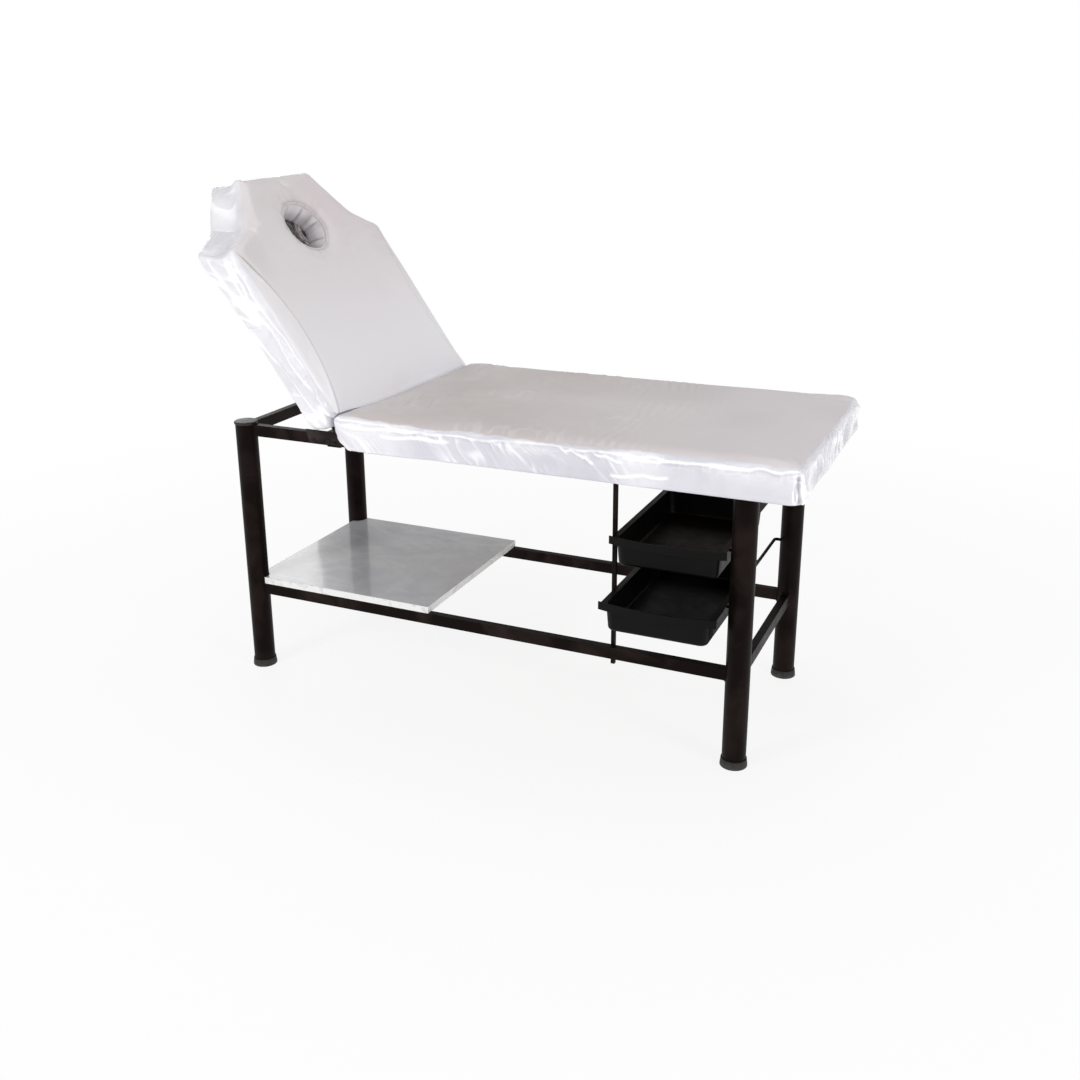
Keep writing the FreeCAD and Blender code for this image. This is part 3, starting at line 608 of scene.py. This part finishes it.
def inflate(pad, held, room):
    """Swells the pad under pressure; no point travels further than its room."""
    group = pad.vertex_groups.new(name="held")
    group.add([int(i) for i in np.flatnonzero(held)], 1.0, "REPLACE")
    start = points_of(pad.data)
    cloth = pad.modifiers.new("pressure", "CLOTH")
    cloth.settings.use_pressure = True
    cloth.settings.uniform_pressure_force = PRESSURE
    cloth.settings.vertex_group_mass = "held"
    cloth.settings.effector_weights.gravity = 0
    cloth.point_cache.frame_start = 1
    cloth.point_cache.frame_end = CLOTH_FRAMES
    for i in range(1, CLOTH_FRAMES + 1):
        SCENE.frame_set(i)
    bake(pad)
    SCENE.frame_set(1)
    travel = points_of(pad.data) - start
    length = np.maximum(np.linalg.norm(travel, axis=1), 1e-9)
    travel *= np.minimum(1, room / length)[:, None]
    pad.vertex_groups.clear()
    set_points(pad.data, start + travel)


def refine_sides(pad, ring):
    """Splits the faces near the outline once more, so that the film's folds are fine enough."""
    work = bmesh.new()
    work.from_mesh(pad.data)
    places = np.array([face.calc_center_median() for face in work.faces])
    inside = along_outline(places[:, :2], ring)[1]
    work.faces.ensure_lookup_table()
    chosen = {edge for i in np.flatnonzero(inside > -0.026) for edge in work.faces[i].edges}
    bmesh.ops.subdivide_edges(work, edges=list(chosen), cuts=1, use_grid_fill=True)
    work.to_mesh(pad.data)
    work.free()


def make_pad(name, node, to_flat, room_at):
    """A flat pad from its CAD foam, remeshed, inflated and refined; also its outline and its top."""
    pad = copy_of(node, name, to_flat)
    top = points_of(pad.data)[:, 2].max()
    ring = outline_of(pad.data, top + 0.0015 - TOP_RADIUS)
    remesh = pad.modifiers.new("voxels", "REMESH")
    remesh.mode = "VOXEL"
    remesh.voxel_size = VOXEL
    bake(pad)
    inflate(pad, hidden(pad), room_at(points_of(pad.data)))
    refine = pad.modifiers.new("refine", "SUBSURF")
    refine.levels = 1
    bake(pad)
    refine_sides(pad, ring)
    pad.data.polygons.foreach_set("use_smooth", [True] * len(pad.data.polygons))
    return pad, ring, top


def side_share(normals, outside):
    """1 on the pad's outer sides, 0 on its top and in its hole."""
    return rise(0.35, 0.75, np.hypot(normals[:, 0], normals[:, 1])) * rise(-0.05, -0.02, outside)


def near_corner(y):
    """Climbs from 0 beside the middle of the bed to 1 by its near edge."""
    return rise(-0.06, -0.33, y)


def store(mesh, name, values):
    """Keeps one number for each point, for the material to read."""
    share = mesh.attributes.new(name, "FLOAT", "POINT")
    share.data.foreach_set("value", values.astype(np.float32))


def finish_pad(pad, lift, shares, look, to_place):
    """Moves each point along its normal, stores the shares its material reads and puts the pad in place."""
    set_points(pad.data, points_of(pad.data) + normals_of(pad.data) * lift[:, None])
    # The fold's lift is kept for the material, which paints shade in the dips and highlights on the ridges from it
    store(pad.data, "fold", lift / FOLD_HEIGHT)
    for name, values in shares.items():
        store(pad.data, name, values)
    pad.data.materials.append(look)
    pad.data.transform(to_place)
    pad.data.update()


def bunched_edge(s, v, seed):
    """Film gathered along the top edge: two wandering rolls and the dips between them."""
    wander = 0.007 * noise(seed, s / 0.11) + 0.004 * noise(seed + 1, s / 0.034)
    first = hump(v, 0.011 + wander, 0.0036) * (0.60 + 0.40 * noise(seed + 2, s / 0.06))
    second = hump(v, 0.025 + 1.5 * wander, 0.0042) * rise(-0.2, 0.4, noise(seed + 3, s / 0.13))
    dip = hump(v, 0.018 + 1.2 * wander, 0.0036) * (0.6 + 0.4 * noise(seed + 5, s / 0.05))
    crumple = folds(seed + 4, 0.24, s / 0.017, v / 0.011 + 2 * wander / 0.011) * hump(v, 0.016, 0.015)
    return 0.0030 * first + 0.0026 * second - 0.0012 * dip + 0.0008 * crumple


def streaks(s, v, seed, lean, spacing, least=0.0):
    """Slanting tension folds down a side, in patches; least keeps some between the patches."""
    across = (s + lean * v) / spacing + 0.9 * noise(seed, s / 0.05, v / 0.05)
    run = (v - lean * s) / 0.16
    strength = np.maximum(rise(-0.35, 0.45, noise(seed + 1, s / 0.09, v / 0.08)), least)
    return folds(seed + 2, 0.22, across, run) * strength * rise(0.006, 0.020, v) * rise(0.092, 0.070, v)


# Single folds on the near side, set on its glints, so that their ridges are painted white as highlights: where
# each starts and ends along the seat, its depth at both ends, its width and its height
SEAT_GLINT_FOLDS = (
    (0.625, 0.735, 0.060, 0.050, 0.0036, 0.0048),
    (0.515, 0.560, 0.011, 0.021, 0.0030, 0.0040),
    (0.556, 0.582, 0.020, 0.037, 0.0040, 0.0044),
    (0.585, 0.640, 0.013, 0.026, 0.0030, 0.0038),
    (0.650, 0.900, 0.016, 0.010, 0.0032, 0.0026),
    (0.030, 0.180, 0.020, 0.015, 0.0034, 0.0036),
    (0.100, 0.260, 0.034, 0.028, 0.0040, 0.0024),
)
# Upright creases beside the near foot corner, the creases painted dark as shade and the lips between them light as
# highlight: place across the bed, width and height
CORNER_CREASES = (
    (-0.3435, 0.0040, 0.0034),
    (-0.3330, 0.0034, -0.0056),
    (-0.3230, 0.0040, 0.0040),
    (-0.3120, 0.0030, -0.0040),
)
# The near head corner bulges towards the backrest: how far, at each depth below the top
CORNER_BULGE = ((0.0, 0.028), (0.012, 0.035), (0.040, 0.031), (0.065, 0.023), (0.088, -0.008))


def seat_cushion():
    """The seat's padding and its vinyl, wrapped in film that is bunched at the edges."""
    low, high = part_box("seat_cover")
    still = Matrix.Identity(4)

    def room_at(points):
        return SWELL * rise(low.x + 0.004, low.x + 0.060, points[:, 0]) + 0.0006

    pad, ring, top = make_pad("seat_cushion", "seat_foam", still, room_at)
    points = points_of(pad.data)
    normals = normals_of(pad.data)
    x, y, z = points.T
    s, outside = along_outline(points[:, :2], ring)
    v = (top - z) + np.minimum(outside, 0)
    side = side_share(normals, outside)
    above = rise(0.6, 0.9, normals[:, 2])
    near = side * rise(0.3, 0.8, -normals[:, 1])
    foot = side * rise(0.3, 0.8, normals[:, 0])
    far = side * rise(0.3, 0.8, normals[:, 1])
    along = (x - low.x) / (high.x - low.x)

    border = 0.009 + 0.009 * noise(3, s / 0.16) + 0.005 * noise(4, s / 0.04) + 0.003 * noise(5, s / 0.012)
    film = rise(-border - 0.003, -border + 0.003, v) * rise(-0.06, -0.04, outside)

    lift = 0.0005 * film
    lift += bunched_edge(s, v, 11) * rise(-0.015, 0.0, v) * np.clip(near + far + 0.5 * above, 0, 1) * film
    lift += 0.0016 * noise(21, s / 0.13, v / 0.07) * side
    tension = rise(0.20, 0.29, along) * rise(0.50, 0.42, along)
    lift += 0.0036 * streaks(s, v, 31, -0.9, 0.015, 0.55) * near * tension
    lift += 0.0016 * streaks(s, v, 33, -0.9, 0.013) * near * rise(0.75, 0.60, along)
    lift += 0.0024 * streaks(s, v, 35, -0.35, 0.017) * far
    foot_folds = 0.0056 * streaks(s, v, 41, 0.6, 0.027, 0.4) + 0.0034 * streaks(s, v, 45, -0.3, 0.046)
    lift += foot_folds * foot * rise(0.080, 0.062, v)

    # Single folds of the film along the near side, their ridges painted white as highlights
    for first, last, start, end, width, height in SEAT_GLINT_FOLDS:
        share = np.clip((along - first) / (last - first), 0, 1)
        middle = start + (end - start) * share + 0.0022 * np.sin(9 * share)
        ends = rise(first - 0.010, first + 0.008, along) * rise(last + 0.010, last - 0.008, along)
        lift += height * hump(v, middle, width) * ends * near

    # The folded corner at the near foot: upright creases with raised lips between them, the creases painted dark
    # as shade and the lips light as highlight
    for place, width, height in CORNER_CREASES:
        lift += height * hump(y, place, width) * foot * rise(0.004, 0.024, v)

    # Stretch wrinkles that run across the top, and a few wide ripples past the middle
    warp = 0.8 * noise(51, x / 0.06, y / 0.10)
    patch = rise(-0.35, 0.35, noise(52, x / 0.11, y / 0.16))
    patch *= rise(0.72, 0.50, along)
    patch *= rise(0.0, 0.04, along)
    lift += 0.0015 * folds(53, 0.24, x / 0.016 + y / 0.06 + warp, y / 0.085) * patch * above
    arcs = hump(along, 0.60, 0.10) * rise(-0.3, 0.5, noise(54, x / 0.09, y / 0.13))
    lift += 0.0005 * np.sin((x + 0.10 * y + 0.35 * y * y + 0.010 * warp) / 0.0040) * arcs * above
    lift += 0.0012 * noise(55, x / 0.20, y / 0.16) * above

    # The lower hem wavers, and hangs a little lower towards the head
    hem = rise(0.072, 0.086, v) * side
    lift += hem * 0.0012 * noise(61, s / 0.07)
    points[:, 2] += hem * (0.0018 * noise(62, s / 0.10) - 0.005 * rise(0.43, 0.40, along) * near)

    # The head end is drawn in below its far corner, and bulges at its near corner
    head_end = rise(low.x + 0.090, low.x, x)
    points[:, 0] += 0.016 * head_end * rise(0.020, 0.088, v) * rise(0.27, 0.31, y)
    points[:, 0] -= np.interp(v, *zip(*CORNER_BULGE)) * head_end * near_corner(y)
    set_points(pad.data, points)
    finish_pad(pad, lift, {"film": film, "tone": rise(0.15, 0.95, along)}, SEAT_VINYL, still)
    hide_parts("seat_cover", "seat_foam")
    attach(pad, "frame")


def hinge_matrices():
    """From the reclined backrest to flat about its hinge axis, and back."""
    tilt = next(joint for joint in frame["joints"] if joint["name"] == "backrest_tilt")
    angle = -math.radians(tilt["range_deg"][0])
    to_place = Matrix.Translation(tilt["pos_m"]) @ Matrix.Rotation(angle, 4, "Y")
    return to_place.inverted(), to_place


TO_FLAT, TO_PLACE = hinge_matrices()

# How far the backrest's end moves along X at each height above the hinge axis
END_SHIFT = (
    (-0.024, -0.010),
    (-0.014, -0.013),
    (0.0, -0.003),
    (0.020, 0.011),
    (0.044, 0.0245),
    (0.055, 0.016),
    (0.065, 0.015),
)
# How far the end's near corner gives way to the seat
CORNER_SHIFT = (
    (-0.024, -0.002),
    (0.0, -0.004),
    (0.020, -0.013),
    (0.037, -0.042),
    (0.055, -0.036),
    (0.065, -0.016),
)
# How far the lower edge of the skirt reaches towards the head, and drops, at places along the backrest
SKIRT_REACH = ((-0.72, 0.025), (-0.60, 0.040), (-0.50, 0.044), (-0.40, 0.012), (-0.30, 0.0))
SKIRT_DROP = ((-0.72, 0.008), (-0.60, 0.018), (-0.52, 0.022), (-0.42, 0.010), (-0.30, 0.002), (-0.02, 0.0))


def smooth_steps(value, steps):
    """Eases from one step to the next; the steps are (place, amount), in rising order."""
    total = np.full(len(value), steps[0][1])
    for (low, before), (high, after) in zip(steps, steps[1:]):
        total = total + (after - before) * rise(low, high, value)
    return total


def backrest_cushion():
    """The backrest's padding with its film: long folds down the sides and a crease inside each edge."""

    def room_at(points):
        from_hole = np.hypot(points[:, 0] - HOLE_CENTRE, points[:, 1])
        return SWELL * rise(-0.016, -0.070, points[:, 0]) * rise(0.085, 0.12, from_hole) + 0.0004

    pad, ring, top = make_pad("backrest_cushion", "backrest_foam", TO_FLAT, room_at)
    points = points_of(pad.data)
    normals = normals_of(pad.data)
    x, y, z = points.T
    s, outside = along_outline(points[:, :2], ring)
    v = (top - z) + np.minimum(outside, 0)
    side = side_share(normals, outside)
    above = rise(0.6, 0.9, normals[:, 2])
    shoulder = ring[:, 0][np.abs(ring[:, 1]) > np.abs(ring[:, 1]).max() - 0.001].min()
    down = (x - shoulder) / -shoulder
    long_side = side * rise(0.5, 0.9, np.abs(normals[:, 1])) * rise(-0.02, 0.06, down)
    head = side * rise(0.10, -0.02, down)
    hole = np.hypot((x - HOLE_CENTRE) / HOLE_HALF[0], y / HOLE_HALF[1])

    # The end over the hinge is cut level when the backrest is reclined, and meets the seat
    end = np.interp(z, *zip(*END_SHIFT)) * rise(-0.090, -0.020, x)
    end += np.interp(z, *zip(*CORNER_SHIFT)) * rise(-0.130, -0.020, x) * near_corner(y)
    # The skirt flares behind the shoulders and the crown
    skirt = rise(0.030, 0.088, v) * rise(-0.052, -0.018, outside)
    points[:, 0] += end - skirt * smooth_steps(x, SKIRT_REACH)
    points[:, 2] -= skirt * smooth_steps(x, SKIRT_DROP)
    set_points(pad.data, points)

    border = 0.006 + 0.007 * noise(103, s / 0.15) + 0.003 * noise(104, s / 0.04)
    film = rise(-border - 0.003, -border + 0.003, v) * rise(-0.06, -0.04, outside)
    lift = 0.0004 * film
    lift += 0.8 * bunched_edge(s, v, 111) * rise(-0.012, 0.0, v) * long_side * film
    lift += 0.0014 * noise(121, s / 0.12, v / 0.06) * side
    slack = v + 0.012 * noise(122, s / 0.10)
    long_folds = folds(123, 0.18, s / 0.11 + slack / 0.05, slack / 0.022)
    lift += 0.0032 * long_folds * long_side * rise(0.010, 0.022, v)
    lift += 0.0020 * streaks(s, v, 131, 0.8, 0.020) * long_side
    lift += 0.0018 * streaks(s + 0.03 * noise(140, s / 0.09), v, 141, 0.5, 0.034) * head

    # A fold line inside each long edge, bowed towards the middle
    bow = np.sin(math.pi * np.clip(down, 0, 1))
    inset = np.where(y < 0, 0.014 + 0.058 * bow, 0.026 + 0.026 * bow)
    inside = np.abs(y) - (ring[:, 1].max() - inset)
    strength = np.where(y < 0, 1.0, 0.55) * rise(0.0, 0.06, down) * rise(1.0, 0.97, down)
    ridge = 0.0012 * hump(inside, 0.006, 0.0045)
    groove = 0.0034 * hump(inside, -0.001, 0.0026)
    lift += above * strength * (ridge - groove)
    lift += 0.0008 * above * strength * rise(0.002, 0.010, inside)

    # The cover is drawn towards the face hole and lies calm below it
    around = np.arctan2(y / HOLE_HALF[1], (x - HOLE_CENTRE) / HOLE_HALF[0])
    puckers = noise(151, 7 * np.cos(around), 7 * np.sin(around)) * rise(1.9, 1.15, hole)
    lift += above * (0.0014 * puckers - HOLE_SINK * rise(1.34, 1.04, hole))
    lift += 0.0011 * noise(155, x / 0.16, y / 0.15) * above
    warp = 0.7 * noise(156, x / 0.07, y / 0.10)
    patch = rise(0.05, 0.55, noise(157, x / 0.12, y / 0.15))
    lift += 0.0007 * folds(158, 0.22, x / 0.018 + warp, y / 0.10) * patch * above

    finish_pad(pad, lift, {"film": film, "tone": rise(-0.62, -0.08, x)}, BACK_VINYL, TO_PLACE)
    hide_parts("backrest_cover", "backrest_foam")
    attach(pad, "backrest")


def face_hole_gather():
    """The lining of the face hole: a rolled rim, a pleated wall and a flat flange under the board, with painted
    shade deeper down and in the pleats' hollows and a painted highlight on their crests.
    """
    top = HOLE_TOP
    # How far each point of the section lies outside the hole, its height, and its share of the pleats
    section = [
        (0.0075, top - 0.0165, 0.0),
        (0.0055, top - 0.0120, 0.0),
        (0.0036, top - 0.0090, 0.15),
        (0.0030, top - 0.0130, 0.5),
        (0.0015, top - 0.0180, 0.85),
        (-0.0035, top - 0.0270, 1.0),
        (-0.0060, top - 0.0370, 1.0),
        (-0.0090, top - 0.0470, 0.9),
        (-0.0110, 0.0080, 0.8),
        (-0.0060, -0.0010, 0.3),
        (0.0020, -0.0014, 0.0),
        (0.0180, -0.0015, 0.0),
        (0.0185, -0.0002, 0.0),
        (0.0032, -0.0002, 0.0),
        (0.0034, 0.0200, 0.0),
        (0.0040, top - 0.0240, 0.0),
    ]
    around = np.linspace(0, 2 * math.pi, 360, endpoint=False)
    circle = (np.cos(around), np.sin(around))
    uneven = noise(201, 2 * circle[0] + 9, 2 * circle[1] + 9)
    pleats = np.abs(np.cos(PLEATS / 2 * around + 1.8 * uneven)) ** 0.55
    depth = PLEAT_DEPTH * (1 + 0.35 * noise(202, 4 * circle[0] + 9, 4 * circle[1] + 9))
    creases = []
    rings = []
    for out, height, share in section:
        reach = out - share * depth * pleats
        # Painted shade and highlight, kept as the fold share: darker deeper in the hole and in the pleats'
        # hollows, lighter on their crests
        deep_shade = 0.75 * rise(0.012, 0.050, top - height)
        creases += (1.3 * share * (pleats - 0.8) - deep_shade).tolist()
        x = HOLE_CENTRE + (HOLE_HALF[0] + reach) * circle[0]
        y = (HOLE_HALF[1] + reach) * circle[1]
        rings.append(np.stack([x, y, np.full_like(x, height)], axis=1).tolist())
    gather = loft("face_hole_gather", rings)
    store(gather.data, "fold", np.array(creases))
    refine = gather.modifiers.new("refine", "SUBSURF")
    refine.levels = 1
    refine.render_levels = 1
    bake(gather)
    depth_in = top - points_of(gather.data)[:, 2]
    store(gather.data, "film", 0.5 * rise(0.006, 0.020, depth_in))
    store(gather.data, "tone", np.zeros(len(depth_in)))
    gather.data.materials.append(BACK_VINYL)
    gather.data.transform(TO_PLACE)
    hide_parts("face_hole_sleeve")
    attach(gather, "backrest")


def film_look():
    """Loose protective film seen from above: grey-brown, creased and glossy, turned near black where shadow is
    painted on it.
    """
    look = Look("loose_film")
    cloud = look.noise(28, 4, 1.5)
    crease = look.noise(60, 4, 1.8, None, 0.65)
    tone = look.mix(look.span(cloud, 0.36, 0.66, 0, 1), (0.26, 0.215, 0.205), (0.44, 0.395, 0.385))
    look.set(
        # Painted shadow: near black where the fold share is low
        Base_Color=look.mix(look.attribute("fold"), (0.035, 0.024, 0.022), tone),
        Roughness=look.span(crease, 0.3, 0.7, 0.20, 0.34),
        Normal=look.bump(crease, 0.5, 0.006),
        Coat_Weight=0.8,
        Coat_Roughness=0.08,
    )
    return look.material


def face_hole_film():
    """The film that closes the lower end of the face hole, slack and creased, with the shadow of the hole's near
    rim painted on it as dark rings.
    """
    around = np.linspace(0, 2 * math.pi, 160, endpoint=False)
    wander = 0.03 * noise(213, 2 * np.cos(around) + 9, 2 * np.sin(around) + 9)
    light = []
    rings = []
    for side, levels in ((1, np.linspace(0.03, 1, 44)), (-1, np.linspace(1, 0.03, 44))):
        for share in levels:
            x = (HOLE_HALF[0] - FILM_MARGIN) * share * np.cos(around)
            y = (HOLE_HALF[1] - FILM_MARGIN) * share * np.sin(around)
            # Painted shadow: dark rings along the near rim and darkness further in, where the rim shades the film;
            # the film also sags a little under them
            place = np.hypot(x / HOLE_HALF[0], (y - FILM_SHADE) / HOLE_HALF[1]) + wander
            dark = rise(0.93, 0.99, place) + 0.9 * hump(place, 0.83, 0.030) + rise(0.72, 0.60, place)
            light += (1 - np.clip(dark, 0, 1)).tolist()
            crumple = 0.0030 * folds(211, 0.3, x / 0.020 + 0.4 * y / 0.020, y / 0.030)
            crumple += 0.0022 * noise(212, x / 0.013, y / 0.013)
            loose = (crumple + 0.002 - 0.0025 * dark) * rise(1.0, 0.86, share)
            sag = FILM_LEVEL + loose + 0.0003 * side
            rings.append(np.stack([HOLE_CENTRE + x, y, sag], axis=1).tolist())
    film = loft("face_hole_film", rings)
    # The fold share of this film holds the painted shadow, not folds
    store(film.data, "fold", np.array(light))
    film.data.materials.append(film_look())
    film.data.transform(TO_PLACE)
    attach(film, "backrest")


# ---- Welds ----


def bead(path, seed):
    """A closed weld bead along a path, with the ripples of its passes."""
    count = len(path)
    path = np.array(path)
    ahead = np.roll(path, -1, axis=0) - np.roll(path, 1, axis=0)
    ahead /= np.linalg.norm(ahead, axis=1)[:, None]
    run = np.cumsum(np.linalg.norm(path - np.roll(path, 1, axis=0), axis=1))
    size = BEAD_RADIUS * (1 + 0.16 * np.sin(run / 0.0005) + 0.22 * noise(seed, run / 0.006))
    rings = []
    for i in range(count):
        sideways = Vector(ahead[i]).orthogonal().normalized()
        upwards = Vector(ahead[i]).cross(sideways)
        ring = []
        for k in range(BEAD_SIDES):
            turn = 2 * math.pi / BEAD_SIDES * k
            outwards = math.cos(turn) * sideways + math.sin(turn) * upwards
            ring.append(Vector(path[i]) + float(size[i]) * outwards)
        rings.append(ring)
    return rings


def rail_ends():
    """Where each rail meets a post: the post's centre, the direction into the rail and the rail's foot."""
    for level in ("upper", "lower"):
        for side in ("near", "far"):
            low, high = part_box(f"{level}_rail_{side}")
            y = (low.y + high.y) / 2
            for end, way in (("head", 1), ("foot", -1)):
                yield post_centre(end, side), Vector((way, 0, 0)), low.z
        for end in ("head", "foot"):
            low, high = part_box(f"{level}_rail_{end}")
            for side, way in (("near", 1), ("far", -1)):
                yield post_centre(end, side), Vector((0, way, 0)), low.z


def post_centre(end, side):
    low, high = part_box(f"post_{end}_{side}")
    return (low + high) / 2


def rail_outline(steps=12):
    """The rail's rectangle as sideways and upward offsets, walked round once."""
    corners = [(-RAIL_HALF, 0), (RAIL_HALF, 0), (RAIL_HALF, RAIL_HEIGHT), (-RAIL_HALF, RAIL_HEIGHT)]
    walk = []
    for (a, b), (c, d) in zip(corners, corners[1:] + corners[:1]):
        for i in range(steps):
            walk.append((a + (c - a) * i / steps, b + (d - b) * i / steps))
    return walk


def weld_beads():
    """The beads where the rails meet the posts, as one piece."""
    points = []
    faces = []
    for number, (centre, into, foot) in enumerate(rail_ends()):
        sideways = Vector((-into.y, into.x, 0))
        path = []
        for across, up in rail_outline():
            reach = math.sqrt(POST_RADIUS**2 - across**2)
            spot = centre + into * reach + sideways * across
            path.append((spot.x, spot.y, foot + up))
        rings = bead(path, 300 + number)
        start = len(points)
        count = len(rings)
        points += [point for ring in rings for point in ring]
        for i in range(count):
            here = start + i * BEAD_SIDES
            there = start + (i + 1) % count * BEAD_SIDES
            for j in range(BEAD_SIDES):
                k = (j + 1) % BEAD_SIDES
                faces.append((here + j, here + k, there + k, there + j))
    welds = mesh_object("weld_beads", points, faces)
    welds.data.materials.append(PAINT)
    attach(welds, "frame")


# ---- Studio ----


def floor_look():
    """A pale floor that fades into the white surround."""
    look = Look("studio_floor")
    look.set(
        Base_Color=look.mix(look.noise(3, 3), (0.86, 0.86, 0.86), (0.89, 0.89, 0.89)),
        Roughness=0.55,
        Normal=look.bump(look.noise(90, 2), 0.02, 0.001),
    )
    glow = look.nodes.new("ShaderNodeEmission")
    glow.inputs["Color"].default_value = (1, 1, 1, 1)
    glow.inputs["Strength"].default_value = 1.0
    reach = look.nodes.new("ShaderNodeVectorMath")
    reach.operation = "LENGTH"
    look.links.new(look.place, reach.inputs[0])
    fade = look.span(reach.outputs["Value"], 0.6, 3.0, 0.84, 1)
    both = look.nodes.new("ShaderNodeMixShader")
    look.links.new(fade, both.inputs[0])
    look.links.new(look.shader.outputs[0], both.inputs[1])
    look.links.new(glow.outputs[0], both.inputs[2])
    look.links.new(both.outputs[0], look.nodes["Material Output"].inputs["Surface"])
    return look.material


# Each lamp's name, place, target, size and power
LAMPS = (
    ("key_light", (-1.6, -3.4, 2.4), (0, 0, 0.6), 0.9, 60),
    ("foot_light", (3.6, -1.6, 1.7), (0.3, 0, 0.6), 1.0, 42),
    ("top_light", (0.2, 0.8, 3.4), (0, 0, 0.6), 2.0, 16),
    ("rim_light", (-3.0, 2.2, 1.8), (-0.3, 0, 0.7), 1.4, 12),
)


def studio():
    """The floor, the white surround and the lamps."""
    side = FLOOR_HALF
    corners = [(-side, -side, 0), (side, -side, 0), (side, side, 0), (-side, side, 0)]
    floor = mesh_object("floor", corners, [(0, 1, 2, 3)])
    floor.data.materials.append(floor_look())
    surround()
    SCENE.view_settings.view_transform = "Standard"
    for lamp in LAMPS:
        softbox(*lamp)


def surround():
    """A white surround: the camera sees it pure white, while it lights the bed more gently."""
    world = bpy.data.worlds.new("studio_white")
    world.use_nodes = True
    nodes = world.node_tree.nodes
    links = world.node_tree.links
    background = nodes["Background"]
    background.inputs["Color"].default_value = (1, 1, 1, 1)
    strength = nodes.new("ShaderNodeMapRange")
    strength.inputs["To Min"].default_value = SURROUND_LIGHT
    strength.inputs["To Max"].default_value = 1.0
    links.new(nodes.new("ShaderNodeLightPath").outputs["Is Camera Ray"], strength.inputs["Value"])
    links.new(strength.outputs["Result"], background.inputs["Strength"])
    SCENE.world = world


def softbox(name, place, target, size, power):
    light = bpy.data.lights.new(name, "AREA")
    light.size = size
    light.energy = power
    lamp = add_object(name, light)
    lamp.location = place
    lamp.rotation_mode = "QUATERNION"
    lamp.rotation_quaternion = (Vector(target) - Vector(place)).to_track_quat("-Z", "Y")


def camera():
    """The camera, looking down at the bed from beyond its near foot corner, with a slight roll."""
    level = math.cos(CAMERA_ELEVATION)
    sideways = math.sin(CAMERA_AZIMUTH) * level
    towards = -math.cos(CAMERA_AZIMUTH) * level
    back = Vector((sideways, towards, math.sin(CAMERA_ELEVATION)))
    right = (-back).cross(Vector((0, 0, 1))).normalized()
    up = right.cross(-back)
    rolled_right = right * math.cos(CAMERA_ROLL) + up * math.sin(CAMERA_ROLL)
    rolled_up = up * math.cos(CAMERA_ROLL) - right * math.sin(CAMERA_ROLL)
    lens = bpy.data.cameras.new("camera")
    lens.lens = CAMERA_LENS
    lens.shift_x, lens.shift_y = CAMERA_SHIFT
    made = add_object("camera", lens)
    turn = Matrix((rolled_right, rolled_up, back)).transposed().to_4x4()
    made.matrix_world = Matrix.Translation(CAMERA_TARGET + back * CAMERA_DISTANCE) @ turn
    SCENE.camera = made


dress_cad_nodes()
seat_cushion()
backrest_cushion()
face_hole_gather()
face_hole_film()
weld_beads()
studio()
camera()
